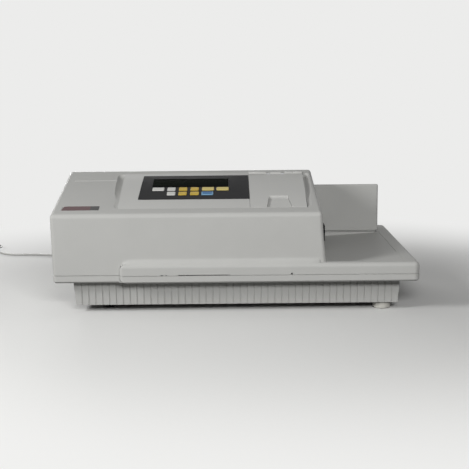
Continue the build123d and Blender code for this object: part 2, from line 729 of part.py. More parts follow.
def make_rack():
    """Straight toothed bar under the carriage."""
    pitch = pi * gear_module
    base_z = tray_bottom_z
    root_z = base_z - 2.5
    tip_z = root_z - tooth_height
    count = int((rack_right_x - rack_left_x) / pitch)
    phase = pinion_x - rack_left_x
    start = rack_left_x + (phase % pitch)
    points = [(rack_right_x, base_z), (rack_left_x, base_z), (rack_left_x, root_z)]
    for i in range(count):
        x = start + i * pitch
        half_root, half_tip = pitch / 4 + 0.40, pitch / 4 - 0.42
        if x - half_root > rack_left_x and x + half_root < rack_right_x:
            points += [(x - half_root, root_z), (x - half_tip, tip_z), (x + half_tip, tip_z), (x + half_root, root_z)]
    points.append((rack_right_x, root_z))
    face = Plane.XZ.offset(-rack_y) * make_face(Polyline(*points, close=True))
    return solid_of(extrude(face, -rack_width))


def make_pinion():
    """Drive pinion with a hub on the motor's shaft."""
    step = 2 * pi / pinion_teeth
    r_tip, r_root = pinion_tip, pinion_radius - 1.25 * gear_module
    points = []
    for i in range(pinion_teeth):
        centre = pi / 2 + (i + 0.5) * step
        for radius, share in ((r_root, -0.34), (pinion_radius, -0.235), (r_tip, -0.12),
                              (r_tip, 0.12), (pinion_radius, 0.235), (r_root, 0.34)):
            a = centre + share * step
            points.append((radius * cos(a), radius * sin(a)))
    plane = Plane(origin=(pinion_x, rack_y + rack_width, pinion_z), x_dir=(1, 0, 0), z_dir=(0, -1, 0))
    gear = extrude(plane * make_face(Polyline(*points, close=True)), rack_width)
    gear += rod((pinion_x, rack_y, pinion_z), (0, -1, 0), 5.0, 6.0)
    return solid_of(gear - rod((pinion_x, rack_y + rack_width + 1, pinion_z), (0, -1, 0), 2.5 + running_gap, 20))


def make_motor():
    """Stepping motor with its shaft through the pinion."""
    half = motor_side / 2
    body = block(pinion_x - half, pinion_x + half, motor_face_y - 30, motor_face_y, pinion_z - half, pinion_z + half)
    body = chamfer(body.edges().filter_by(Axis.Y), 3.0)
    body += rod((pinion_x, motor_face_y, pinion_z), "y", 2.5, rack_y + rack_width - motor_face_y)
    return solid_of(body)


def make_motor_bracket():
    """Angle bracket that holds the drawer motor above the base floor."""
    half = motor_side / 2
    plate = block(pinion_x - half, pinion_x + half, motor_face_y + 0.05, motor_face_y + 3, pan_floor_z, pinion_z + half)
    plate += block(pinion_x - half, pinion_x + half, motor_face_y + 0.05, motor_face_y + 12, pan_floor_z, pan_floor_z + 3)
    plate -= rod((pinion_x, motor_face_y - 1, pinion_z), "y", 8.0, 6)
    return solid_of(plate)


def make_plate_clamp():
    """Small spring arm at the pocket's corner that pushes the plate home."""
    x, y = tray_left_x + 3.0, tray_front_y + 7.0
    z = tray_bottom_z + tray_rail
    arm = rod((x, y, z + 0.3), "z", 3.2, 3.0) + block(x, x + 15, y - 2, y + 2, z + 0.3, z + 3.3)
    arm += rod((x + 15, y, z + 0.3), "z", 2.4, 3.0)
    return solid_of(arm - rod((x, y, z), "z", 1.5 + running_gap, 5))


def make_clamp_pin():
    """Headed pivot pin of the clamp arm."""
    x, y = tray_left_x + 3.0, tray_front_y + 7.0
    z = tray_bottom_z + tray_rail
    return solid_of(rod((x, y, z), "z", 1.5, 3.6) + rod((x, y, z + 3.6), "z", 2.6, 0.8))


def make_optics_head():
    """Bridge above the drawer with a row of light guides over one column of wells."""
    y0, y1 = rod_front_y - 16, rod_rear_y + 15
    head = block(head_x - 12, head_x + 12, y0, y1, 122, 140)
    head += block(head_x - 12, head_x - 4, y0, y0 + 5, pan_floor_z, 122)
    head += block(head_x - 12, head_x - 4, y1 - 5, y1, pan_floor_z, 122)
    middle = (tray_front_y + tray_rear_y) / 2
    for i in range(8):
        y = middle + (i - 3.5) * 9.0
        head -= rod((head_x, y, 121), "z", 1.6, 20)
    return solid_of(head)


def make_detector_bar():
    """Detector bar below the drawer, on its board and posts."""
    middle = (tray_front_y + tray_rear_y) / 2
    bar = block(head_x - 8, head_x + 8, 12, 88, 70, 84)
    for i in range(8):
        bar -= rod((head_x, middle + (i - 3.5) * 9.0, 80), "z", 2.2, 6)
    for y in (16, 84):
        bar += block(head_x - 5, head_x + 5, y - 4, y + 4, pan_floor_z, 70)
    return solid_of(bar)


def make_monochromator():
    """Closed optical box with a turntable well for the grating and ports in two sides."""
    x0, x1, y0, y1 = mono
    case = block(x0, x1, y0, y1, pan_floor_z, mono_top)
    case -= block(x0 + 5, x1 - 5, y0 + 5, y1 - 5, pan_floor_z + 6, mono_top - 4)
    case -= rod((x1 - 10, -70, 60), "x", 7.0, 12)
    case -= rod((-170, y1 - 10, 60), "y", 6.0, 12)
    return solid_of(case)


def make_grating():
    """Grating plate on its round turntable."""
    turn = rod((-130, -95, pan_floor_z + 10.3), "z", 16, 5)
    turn += block(-146 + 2, -116, -98, -92, pan_floor_z + 15, pan_floor_z + 47)
    return solid_of(turn - rod((-130, -95, pan_floor_z), "z", 3 + running_gap, 30))


def make_grating_motor():
    """Low motor under the grating's turntable."""
    return solid_of(rod((-130, -95, pan_floor_z + 6.05), "z", 15, 4) + rod((-130, -95, pan_floor_z + 6.05), "z", 3, 14))


def make_flash_lamp():
    """Flash lamp in a finned housing on its stand."""
    lamp = block(lamp_x - 14, lamp_x + 24, -92, -48, 40, 84)
    for i in range(5):
        lamp -= block(lamp_x - 6 + i * 6.5, lamp_x - 3 + i * 6.5, -93, -47, 74, 90)
    lamp += rod((lamp_x - 19, -70, 60), "x", 8, 8)
    lamp += block(lamp_x - 12, lamp_x + 22, -90, -50, pan_floor_z, 19) + block(lamp_x + 2, lamp_x + 8, -90, -50, 19, 40)
    return solid_of(lamp - rod((lamp_x - 22, -70, 60), "x", 5, 16))


def make_filter_wheel():
    """Disc with six round filter seats between the lamp and the optical box."""
    y, z = wheel_axis
    disc = rod((wheel_x - 1.5, y, z), "x", 30, 3.0) + rod((wheel_x - 3, y, z), "x", 5, 6.0)
    for i in range(6):
        a = radians(60 * i)
        disc -= rod((wheel_x - 4, y + 22 * cos(a), z + 22 * sin(a)), "x", 6.0, 8)
    return solid_of(disc - rod((wheel_x - 5, y, z), "x", 2 + running_gap, 12))


def make_filters():
    """Glass filter discs in the wheel."""
    y, z = wheel_axis
    return Compound([rod((wheel_x - 1.2, y + 22 * cos(radians(60 * i)), z + 22 * sin(radians(60 * i))), "x", 5.95, 2.4)
                     for i in range(6)])


def make_filter_motor():
    """Small motor that turns the filter wheel, on a foot."""
    y, z = wheel_axis
    motor = rod((wheel_x - 3, y, z), "x", 2, 10) + rod((wheel_x + 5, y, z), "x", 9.5, 4.5)
    return solid_of(motor + block(wheel_x + 5, wheel_x + 9.5, y - 5, y + 5, pan_floor_z, z))


def make_main_board():
    """Upright main circuit board with a few large components, on edge rails."""
    board = block(-150, 90, 140, 141.6, pan_floor_z + 4, 132)
    for x, z, w, h in ((-120, 50, 28, 28), (-60, 80, 20, 14), (-10, 45, 36, 20), (50, 90, 24, 24)):
        board += block(x - w / 2, x + w / 2, 135, 140, z - h / 2, z + h / 2)
    for x in (-140, 80):
        board += block(x - 5, x + 5, 137, 145, pan_floor_z, pan_floor_z + 8)
    return solid_of(board)


def make_power_supply():
    """Boxed supply with vent slots, standing in the back corner."""
    box = block(165, 250, 122, 156, pan_floor_z, 104)
    for i in range(9):
        x = 173 + i * 8.5
        box -= block(x, x + 3, 121, 124, 40, 92)
    return solid_of(box)


def make_fan_frame():
    """Square fan frame with a round duct, three struts and the rotor's stub."""
    y1 = housing_rear_y - cover_wall - panel_thick
    y0 = y1 - 25
    half = fan_side / 2
    frame = block(fan_x - half, fan_x + half, y0, y1, fan_z - half, fan_z + half)
    frame = fillet(frame.edges().filter_by(Axis.Y), 3.0)
    frame -= rod((fan_x, y0 - 1, fan_z), "y", half - 1.5, 27)
    frame += rod((fan_x, y0, fan_z), "y", 12, 3)
    for angle in (90, 210, 330):
        strut = Pos(fan_x, y0 + 1.5, fan_z) * Rot(0, -angle, 0) * Pos(half / 2 + 3, 0, 0) * Box(half - 4, 3, 4)
        frame += strut
    frame += rod((fan_x, y0, fan_z), "y", 2, 16)
    for x in (-1, 1):
        for z in (-1, 1):
            frame -= rod((fan_x + x * (half - 5), y0 - 1, fan_z + z * (half - 5)), "y", 2.0, 27)
    return solid_of(frame)


def make_fan_rotor():
    """Fan hub with seven pitched blades."""
    y1 = housing_rear_y - cover_wall - panel_thick
    y0 = y1 - 25
    hub = rod((fan_x, y0 + 3.3, fan_z), "y", 12, 16)
    for i in range(7):
        blade = Pos(fan_x, y0 + 11.3, fan_z) * Rot(0, i * 360 / 7, 0) * Pos(18.8, 0, 0) * Rot(35, 0, 0) * Box(15.5, 1.6, 13)
        hub += blade
    hub -= rod((fan_x, y0, fan_z), "y", 2 + running_gap, 17)
    return solid_of(hub)


def make_power_inlet():
    """Three-pin mains inlet in the block's back wall."""
    y1 = housing_rear_y
    body = block(inlet_x - 13.7, inlet_x + 13.7, y1 - 22, y1 + 1, inlet_z - 10.2, inlet_z + 10.2)
    body += block(inlet_x - 17, inlet_x + 17, y1 + 0.05, y1 + 2, inlet_z - 13, inlet_z + 13)
    body -= block(inlet_x - 11.5, inlet_x + 11.5, y1 - 17, y1 + 3, inlet_z - 8, inlet_z + 8)
    for dx, dz in ((-7, -1.5), (7, -1.5), (0, 3.7)):
        body += block(inlet_x + dx - 1, inlet_x + dx + 1, y1 - 17, y1 - 2, inlet_z + dz - 2, inlet_z + dz + 2)
    return solid_of(body)


def make_switch_frame():
    """Frame of the power switch with two ears that carry the rocker's axle."""
    y1 = housing_rear_y
    frame = block(switch_x - 6.7, switch_x + 6.7, y1 - 14, y1 + 1, inlet_z - 10.7, inlet_z + 10.7)
    frame += block(switch_x - 9, switch_x + 9, y1 + 0.05, y1 + 1.8, inlet_z - 13, inlet_z + 13)
    frame -= block(switch_x - 5.2, switch_x + 5.2, y1 - 11, y1 + 3, inlet_z - 9.4, inlet_z + 9.4)
    return solid_of(frame + rod((switch_x - 5.3, y1 - 4, inlet_z), "x", 1.5, 10.6))


def make_rocker():
    """Rocker of the power switch, resting with its lower half pressed in."""
    profile = side_profile([(-3.0, -3), (3.8, -rocker_reach), (4.8, 0), (3.8, rocker_reach), (-3.0, 3)])
    rocker = extrude(profile, 4.8, both=True) - rod((-6, 0, 0), "x", 1.5 + running_gap, 12)
    return Pos(switch_x, housing_rear_y - 4, inlet_z) * Rot(-rocker_angle, 0, 0) * solid_of(rocker)


def make_cable_socket():
    """Round-cornered socket for the interface cable, fixed in the rear panel."""
    y1 = housing_rear_y - cover_wall
    body = block(socket_x - 9.7, socket_x + 9.7, y1 - 12, y1 + 4, socket_z - 5.7, socket_z + 5.7)
    body = fillet(body.edges().filter_by(Axis.Y), 2.0)
    body += block(socket_x - 15, socket_x + 15, y1 + 0.05, y1 + 1.2, socket_z - 6.2, socket_z + 6.2)
    return solid_of(body)


def make_foot(x, y, radius):
    """Round foot with a stem into the base floor's underside."""
    foot = rod((x, y, 0), "z", radius, skirt_bottom_z - 0.05)
    rim = [e for e in foot.edges() if near(e.center().Z, 0)]
    return solid_of(fillet(rim, 2.0))


def make_dark_feet():
    """Three plain rubber feet, set further in than the pale one."""
    spots = ((-foot_x + 30, foot_y + 25), (-foot_x + 30, -foot_y - 20), (foot_x - 20, -foot_y - 20))
    return Compound([make_foot(x, y, foot_radius - 3) for x, y in spots])


def make_case_screws():
    """Pan-head screws that hold the rear panel to the cover."""
    y = housing_rear_y - cover_wall - panel_thick
    spots = [(x, z) for x in (panel_left_x - 2, 0, panel_right_x + 2) for z in (panel_low_z - 2.4, panel_high_z + 2.4)]
    return Compound([rod((x, y - 1.6, z), "y", 2.0, 1.6) for x, z in spots])


def make_cable_plug():
    """Round connector shell and strain relief in the socket, where the interface cable leaves."""
    y0 = housing_rear_y - cover_wall + 4.05
    shell = block(socket_x - 11, socket_x + 11, y0, y0 + 24, socket_z - 7, socket_z + 7)
    shell = fillet(shell.edges().filter_by(Axis.Y), 3.0)
    boot = extrude(Plane.XZ.offset(-y0 - 24) * Pos(socket_x, socket_z) * Circle(4.5), -14, taper=7)
    return solid_of(shell + boot)


def arc_radii(points, share=0.45):
    """Largest tangent arc for each corner of a route, from its shorter run and its turn."""
    radii = []
    for a, b, c in zip(points, points[1:], points[2:]):
        first, second = Vector(*b) - Vector(*a), Vector(*c) - Vector(*b)
        turn = radians(first.get_angle(second))
        radii.append(share * min(first.length, second.length) / tan(turn / 2))
    return radii


def make_cable():
    """Interface cable from its plug to the coil, as straight runs joined by tangent arcs."""
    radii = arc_radii(cable_route)
    path = FilletPolyline(*cable_route, radius=radii)
    start = Plane(origin=path @ 0, z_dir=path % 0)
    cable = sweep(start * Circle(cable_radius), path=path)
    print("cable radii", [round(r) for r in radii], "length", round(path.length, 1),
          "volume share", round(cable.volume / (path.length * pi * cable_radius ** 2), 4))
    return solid_of(cable)


def make_coil():
    """Outer shape of the put-away coil of cable."""
    x, y = coil_centre
    ring = Pos(x, y, coil_thickness / 2 + 0.1) * Torus(coil_radius, coil_thickness / 2)
    return solid_of(ring)


def make_cable_end():
    """Round connector on the cable's far end, beside the coil."""
    x, y = coil_centre[0] - 16, coil_centre[1] + coil_radius + coil_thickness + 1
    body = rod((x, y, 6.6), "x", 6.5, 26) + rod((x - 9, y, 6.6), "x", 5.2, 9) + rod((x + 26, y, 6.6), "x", 3.6, 12)
    return solid_of(body)


def main():
    """Make every piece and write each as its own file."""
    os.makedirs("parts", exist_ok=True)
    pieces = {
        "upper_cover": make_upper_cover(), "lower_cover": make_lower_cover(), "base_pan": make_base_pan(),
        "rear_block": make_rear_block(), "rear_panel": make_rear_panel(), "badge": make_badge(),
        "control_deck": make_control_deck(), "keypad_overlay": make_overlay(), "display_window": make_window(),
        "display_module": make_display(), "key_board": make_key_board(), "cuvette_lid": make_lid(),
        "lid_hinge_pin": make_hinge_pin(), "cuvette_holder": make_cuvette_holder(), "drawer_bezel": make_bezel(),
        "drawer_tray": make_tray(), "drawer_front": make_drawer_front(), "tray_bushes": make_bushes(),
        "guide_rods": make_rods(), "rod_posts": make_rod_posts(), "drawer_rack": make_rack(),
        "drive_pinion": make_pinion(), "drawer_motor": make_motor(), "motor_bracket": make_motor_bracket(),
        "plate_clamp": make_plate_clamp(), "clamp_pin": make_clamp_pin(), "optics_head": make_optics_head(),
        "detector_bar": make_detector_bar(), "monochromator": make_monochromator(), "grating": make_grating(),
        "grating_motor": make_grating_motor(), "flash_lamp": make_flash_lamp(),
        "filter_wheel": make_filter_wheel(), "filters": make_filters(), "filter_motor": make_filter_motor(),
        "main_board": make_main_board(), "power_supply": make_power_supply(), "fan_frame": make_fan_frame(),
        "fan_rotor": make_fan_rotor(), "power_inlet": make_power_inlet(), "switch_frame": make_switch_frame(),
        "power_rocker": make_rocker(), "cable_socket": make_cable_socket(),
        "pale_foot": make_foot(foot_x, foot_y, foot_radius), "dark_feet": make_dark_feet(),
        "case_screws": make_case_screws(), "cable": make_cable(), "cable_coil": make_coil(),
        "cable_plug": make_cable_plug(), "cable_end": make_cable_end()}
    for number, (x, y, w) in enumerate(key_list(), start=1):
        pieces["key_" + str(number)] = make_key(x, y, w)
    for name, shape in pieces.items():
        export_step(shape, "parts/" + name + ".step")


main()
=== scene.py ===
import logging
import math
from dataclasses import dataclass
from enum import Enum

import bmesh
import bpy
from mathutils import Matrix, Vector


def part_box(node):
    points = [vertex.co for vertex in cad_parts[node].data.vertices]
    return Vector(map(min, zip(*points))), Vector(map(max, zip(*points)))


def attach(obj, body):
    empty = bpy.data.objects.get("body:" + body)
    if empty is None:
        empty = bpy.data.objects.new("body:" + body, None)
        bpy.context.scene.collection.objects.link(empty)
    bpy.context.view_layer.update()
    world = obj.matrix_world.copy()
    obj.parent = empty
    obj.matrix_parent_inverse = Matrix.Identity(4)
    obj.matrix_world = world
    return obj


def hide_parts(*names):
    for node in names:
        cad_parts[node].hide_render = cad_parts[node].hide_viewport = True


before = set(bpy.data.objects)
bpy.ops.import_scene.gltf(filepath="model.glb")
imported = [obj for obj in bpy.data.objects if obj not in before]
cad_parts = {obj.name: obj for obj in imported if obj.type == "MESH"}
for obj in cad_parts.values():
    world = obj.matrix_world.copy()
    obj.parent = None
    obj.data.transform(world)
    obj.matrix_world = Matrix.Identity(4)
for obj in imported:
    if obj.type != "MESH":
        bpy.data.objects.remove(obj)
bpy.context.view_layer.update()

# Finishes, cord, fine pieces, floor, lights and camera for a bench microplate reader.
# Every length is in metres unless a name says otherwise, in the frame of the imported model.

log = logging.getLogger("reader")
MM = 0.001
Pair = tuple[float, float]
Triple = tuple[float, float, float]
NodeObject = bpy.types.Object

# The housing's sloped top starts at this depth and height, and rises by this share of the depth.
SLOPE_START: Pair = (-182.0 * MM, 161.4 * MM)
SLOPE = 43.8 / 229.4
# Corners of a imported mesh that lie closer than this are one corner.
WELD_REACH = 0.002 * MM
# Faces that meet at more than this stay sharp.
SHARP = math.radians(40)


def linear(colour: Triple) -> tuple[float, float, float, float]:
    """Scene colour of a display colour.

    Args:
        colour: Red, green and blue as they look on screen, from 0 to 255.

    Returns:
        Linear red, green and blue with an alpha of 1.
    """
    def channel(value: float) -> float:
        """One channel of the conversion."""
        share = value / 255
        return share / 12.92 if share <= 0.04045 else ((share + 0.055) / 1.055) ** 2.4
    return channel(colour[0]), channel(colour[1]), channel(colour[2]), 1.0


class Num:
    """A number's socket in a node tree, with arithmetic that adds Math nodes."""

    def __init__(self, shade: "Shade", socket: bpy.types.NodeSocket) -> None:
        """Wraps a socket of a material."""
        self.shade = shade
        self.socket = socket

    def _math(self, operation: str, *values: "Num | float") -> "Num":
        """Adds a Math node.

        Args:
            operation: The Math node's operation.
            values: Its inputs in order.

        Returns:
            The node's result.
        """
        made = self.shade.node("ShaderNodeMath", {"operation": operation}, dict(enumerate(values)))
        return Num(self.shade, made.outputs[0])

    def __add__(self, other: "Num | float") -> "Num":
        """Sum."""
        return self._math("ADD", self, other)

    __radd__ = __add__

    def __mul__(self, other: "Num | float") -> "Num":
        """Product."""
        return self._math("MULTIPLY", self, other)

    __rmul__ = __mul__

    def __sub__(self, other: "Num | float") -> "Num":
        """Difference."""
        return self._math("SUBTRACT", self, other)

    def __rsub__(self, other: "Num | float") -> "Num":
        """Difference with this value on the right."""
        return self._math("SUBTRACT", other, self)

    def __pow__(self, other: "Num | float") -> "Num":
        """Power."""
        return self._math("POWER", self, other)

    def __gt__(self, other: "Num | float") -> "Num":
        """1 where this value is the larger one."""
        return self._math("GREATER_THAN", self, other)

    def wave(self, period: float) -> "Num":
        """Value's remainder in a period, from 0 to 1."""
        return self._math("FRACT", self._math("DIVIDE", self, period))

    def distance(self) -> "Num":
        """Size of the value without its sign."""
        return self._math("ABSOLUTE", self)

    def ramp(self, low: float, high: float) -> "Num":
        """Smooth step between two values.

        Args:
            low: The value at which the result is 0.
            high: The value at which the result is 1.

        Returns:
            The step's result from 0 to 1.
        """
        inputs = {"Value": self, "From Min": low, "From Max": high}
        made = self.shade.node("ShaderNodeMapRange", {"interpolation_type": "SMOOTHSTEP"}, inputs)
        return Num(self.shade, made.outputs["Result"])


class Shade:
    """Node tree of one material with a single surface shader."""

    def __init__(self, name: str) -> None:
        """Makes an empty material.

        Args:
            name: The material's name.
        """
        self.material = bpy.data.materials.new(name)
        self.material.use_nodes = True
        self.tree = self.material.node_tree
        self.tree.nodes.clear()
        self.surface = self.node("ShaderNodeBsdfPrincipled")
        self.output = self.node("ShaderNodeOutputMaterial")
        self.tree.links.new(self.surface.outputs[0], self.output.inputs["Surface"])
        self.place = self.node("ShaderNodeTexCoord").outputs["Object"]

    def node(self, kind: str, settings: dict | None = None, inputs: dict | None = None) -> bpy.types.Node:
        """Adds a node of any kind.

        Args:
            kind: The node's type.
            settings: Its properties, which are set first. A ramp's stops are given as "stops".
            inputs: Values, sockets or numbers for its inputs, by name or index.

        Returns:
            The new node.
        """
        made = self.tree.nodes.new(kind)
        for key, value in (settings or {}).items():
            if key == "stops":
                for spot, (position, colour) in enumerate(value):
                    stops = made.color_ramp.elements
                    stop = stops[spot] if spot < 2 else stops.new(position)
                    stop.position, stop.color = position, colour
            else:
                setattr(made, key, value)
        for key, value in (inputs or {}).items():
            self.feed(made.inputs[key], value)
        return made

    def feed(self, socket: bpy.types.NodeSocket, value: object) -> None:
        """Links or sets a socket.

        Args:
            socket: The input to feed.
            value: A number, a colour, a socket or a Num.
        """
        source = value.socket if isinstance(value, Num) else value
        if isinstance(source, bpy.types.NodeSocket):
            self.tree.links.new(source, socket)
        else:
            socket.default_value = source

    def axis(self, letter: str) -> Num:
        """One coordinate of the place on the object, in metres."""
        split = self.node("ShaderNodeSeparateXYZ", None, {0: self.place})
        return Num(self, split.outputs[letter.upper()])

    def stretched(self, scale: Triple) -> bpy.types.NodeSocket:
        """Place on the object with each axis multiplied."""
        made = self.node("ShaderNodeVectorMath", {"operation": "MULTIPLY"}, {0: self.place, 1: scale})
        return made.outputs[0]

    def noise(self, size: float, detail: float = 2.0, rough: float = 0.5,
              place: bpy.types.NodeSocket | None = None) -> Num:
        """Noise with features of about a given size.

        Args:
            size: Feature size in metres.
            detail: Number of finer layers.
            rough: Strength of the finer layers.
            place: Coordinates, which are the object's if none are given.

        Returns:
            The noise from 0 to 1.
        """
        inputs = {"Vector": place or self.place, "Scale": 1 / size, "Detail": detail, "Roughness": rough}
        return Num(self, self.node("ShaderNodeTexNoise", {"noise_dimensions": "3D"}, inputs).outputs[0])

    def cells(self, size: float) -> Num:
        """Distance from the nearest of scattered points, in cells of about a given size."""
        node = self.node("ShaderNodeTexVoronoi", None, {"Vector": self.place, "Scale": 1 / size})
        return Num(self, node.outputs["Distance"])

    def blend(self, share: Num | float, low: object, high: object) -> bpy.types.NodeSocket:
        """Mix of two colours.

        Args:
            share: The second colour's share.
            low: The first colour or its socket.
            high: The second colour or its socket.

        Returns:
            The mixed colour.
        """
        node = self.node("ShaderNodeMix", {"data_type": "RGBA"})
        self.feed(node.inputs[0], share)
        self.feed(node.inputs[6], low)
        self.feed(node.inputs[7], high)
        return node.outputs[2]

    def tint(self, colour: object, factor: Num, amount: float) -> bpy.types.NodeSocket:
        """Colour made darker and lighter by a noise around one half.

        Args:
            colour: The colour or its socket.
            factor: The noise.
            amount: The largest change, as a share of the colour.

        Returns:
            The changed colour.
        """
        dark = self.node("ShaderNodeMix", {"data_type": "RGBA", "blend_type": "MULTIPLY"}, {0: 1.0})
        self.feed(dark.inputs[6], colour)
        level = 1.0 + (factor - 0.5) * (2 * amount)
        grey = self.node("ShaderNodeCombineColor", None, {0: level, 1: level, 2: level})
        self.feed(dark.inputs[7], grey.outputs[0])
        return dark.outputs[2]

    def bump(self, height: Num, depth: float, strength: float = 1.0) -> None:
        """Sends a height to the surface's normal.

        Args:
            height: Relief from 0 to 1.
            depth: The relief's height in metres.
            strength: Share of the effect.
        """
        inputs = {"Height": height, "Distance": depth, "Strength": strength}
        node = self.node("ShaderNodeBump", None, inputs)
        self.feed(self.surface.inputs["Normal"], node.outputs[0])

    def seen(self) -> Num:
        """Test for rays that show a place to the eye, straight, in a gloss or through glass.

        Returns:
            1 for such a ray and 0 for bounced light.
        """
        path = self.node("ShaderNodeLightPath")
        rays = Num(self, path.outputs["Is Camera Ray"]) + Num(self, path.outputs["Is Glossy Ray"])
        return (rays + Num(self, path.outputs["Is Transmission Ray"])) > 0.5

    def show_far(self, share: Num, colour: object) -> None:
        """Lets the eye see a plain colour instead of the surface, where a share says so.

        Args:
            share: The plain colour's share, which counts for camera, glossy and transmission rays only.
            colour: The colour.
        """
        plain = self.node("ShaderNodeEmission", None, {"Color": colour, "Strength": 1.0})
        mix = self.node("ShaderNodeMixShader", None, {0: share * self.seen(), 1: self.surface.outputs[0]})
        self.tree.links.new(plain.outputs[0], mix.inputs[2])
        self.tree.links.new(mix.outputs[0], self.output.inputs["Surface"])

    def worn(self, radius: float) -> Num:
        """Mask of the outer edges, from the difference between the true and a rounded normal.

        Args:
            radius: Width of the edge in metres.

        Returns:
            The mask from 0 to 1.
        """
        soft = self.node("ShaderNodeBevel", {"samples": 4}, {"Radius": radius}).outputs[0]
        true = self.node("ShaderNodeNewGeometry").outputs["Normal"]
        node = self.node("ShaderNodeVectorMath", {"operation": "DOT_PRODUCT"}, {0: soft, 1: true})
        return (1.0 - Num(self, node.outputs["Value"])).ramp(0.02, 0.3)

    def set(self, **values: object) -> None:
        """Feeds inputs of the surface shader, whose names have underscores for spaces."""
        for name, value in values.items():
            self.feed(self.surface.inputs[name.replace("_", " ")], value)


@dataclass(frozen=True)
class Moulded:
    """Moulded plastic: spark-eroded grain, faint mottling and edges polished by use."""

    colour: Triple
    roughness: float = 0.5
    grain: float = 0.45 * MM
    depth: float = 0.035 * MM
    wear: float = 0.08
    mottle: float = 0.035
    specular: float = 0.13

    def dress(self, shade: Shade) -> None:
        """Builds the surface.

        Args:
            shade: The material's node tree.
        """
        broad = shade.noise(45 * MM, 3.0)
        grain = shade.noise(self.grain, 2.0, 0.6)
        pale = tuple(min(255, c + 26) for c in self.colour)
        body = shade.tint(linear(self.colour), broad, self.mottle)
        speck = shade.tint(body, grain, 0.03)
        shade.set(Base_Color=shade.blend(shade.worn(0.6 * MM) * self.wear * 4, speck, linear(pale)),
                  Roughness=self.roughness + (broad - 0.5) * 0.12 + (grain - 0.5) * 0.1,
                  Specular_IOR_Level=self.specular)
        shade.bump(grain + shade.noise(self.grain * 3, 1.0) * 0.5, self.depth)


@dataclass(frozen=True)
class Film:
    """Printed polyester film over the key field, with a fine matt structure."""

    colour: Triple
    roughness: float = 0.42
    specular: float = 0.01

    def dress(self, shade: Shade) -> None:
        """Builds the surface.

        Args:
            shade: The material's node tree.
        """
        fine = shade.noise(0.25 * MM, 1.0)
        smear = shade.noise(22 * MM, 3.0, 0.6)
        base = shade.tint(shade.tint(linear(self.colour), fine, 0.06), smear, 0.07)
        shade.set(Base_Color=base, Roughness=self.roughness + (smear - 0.5) * 0.25,
                  Specular_IOR_Level=self.specular)
        shade.bump(fine, 0.012 * MM)


@dataclass(frozen=True)
class Tinted:
    """Dark tinted window with rows of faint unlit character cells behind it."""

    colour: Triple
    glow: Triple
    cell: float = 5.6 * MM
    middle_y: float = -34 * MM
    half_height: float = 19 * MM
    soft_rim: float = 5 * MM
    specular: float = 0.0008

    def dress(self, shade: Shade) -> None:
        """Builds the surface.

        Args:
            shade: The material's node tree.
        """
        across = (shade.axis("x").wave(self.cell) - 0.5).distance()
        along = (shade.axis("y").wave(self.cell * 2.1) - 0.5).distance()
        grid = across.ramp(0.46, 0.40) * along.ramp(0.42, 0.36)
        from_middle = (shade.axis("y") - self.middle_y).distance()
        band = from_middle.ramp(self.half_height, self.half_height - self.soft_rim)
        smear = shade.noise(30 * MM, 3.0)
        shade.set(Base_Color=shade.blend(grid * band * 0.45, linear(self.colour), linear(self.glow)),
                  Roughness=0.2 + smear * 0.12, Specular_IOR_Level=self.specular)
        shade.bump(smear, 0.02 * MM, 0.4)


@dataclass(frozen=True)
class Inlay:
    """Glossy badge plate, dark red at one end and black at the other."""

    left: Triple
    right: Triple
    change_x: float

    def dress(self, shade: Shade) -> None:
        """Builds the surface.

        Args:
            shade: The material's node tree.
        """
        side = shade.axis("x").ramp(self.change_x - 0.4 * MM, self.change_x + 0.4 * MM)
        fine = shade.noise(0.4 * MM, 2.0)
        rim = shade.worn(0.4 * MM)
        body = shade.blend(side, linear(self.left), linear(self.right))
        shade.set(Base_Color=shade.blend(rim * 0.5, shade.tint(body, fine, 0.1), linear((120, 118, 116))),
                  Roughness=0.3 + fine * 0.12, Specular_IOR_Level=0.3)
        shade.bump(shade.noise(3 * MM, 2.0), 0.02 * MM)


@dataclass(frozen=True)
class Metal:
    """Bare metal with brushed or turned lines along one axis."""

    colour: Triple
    roughness: float = 0.32
    along: Triple = (1.0, 1.0, 0.03)
    line: float = 0.12 * MM

    def dress(self, shade: Shade) -> None:
        """Builds the surface.

        Args:
            shade: The material's node tree.
        """
        lines = shade.noise(self.line, 3.0, 0.6, shade.stretched(self.along))
        broad = shade.noise(18 * MM, 3.0)
        base = shade.tint(shade.tint(linear(self.colour), lines, 0.12), broad, 0.1)
        shade.set(Base_Color=base, Metallic=1.0,
                  Roughness=self.roughness + (lines - 0.5) * 0.22 + (broad - 0.5) * 0.12)
        shade.bump(lines, 0.015 * MM)


@dataclass(frozen=True)
class Coated:
    """Powder-coated sheet with a fine orange peel and chipped edges."""

    colour: Triple
    roughness: float = 0.5

    def dress(self, shade: Shade) -> None:
        """Builds the surface.

        Args:
            shade: The material's node tree.
        """
        peel = shade.noise(0.9 * MM, 2.0, 0.4)
        broad = shade.noise(30 * MM, 3.0)
        chips = shade.worn(0.5 * MM) * shade.noise(2.5 * MM, 2.0).ramp(0.55, 0.7)
        base = shade.tint(linear(self.colour), broad, 0.05)
        shade.set(Base_Color=shade.blend(chips * 0.8, base, linear((150, 150, 152))), Metallic=chips * 0.8,
                  Roughness=self.roughness + (peel - 0.5) * 0.15)
        shade.bump(peel, 0.05 * MM)


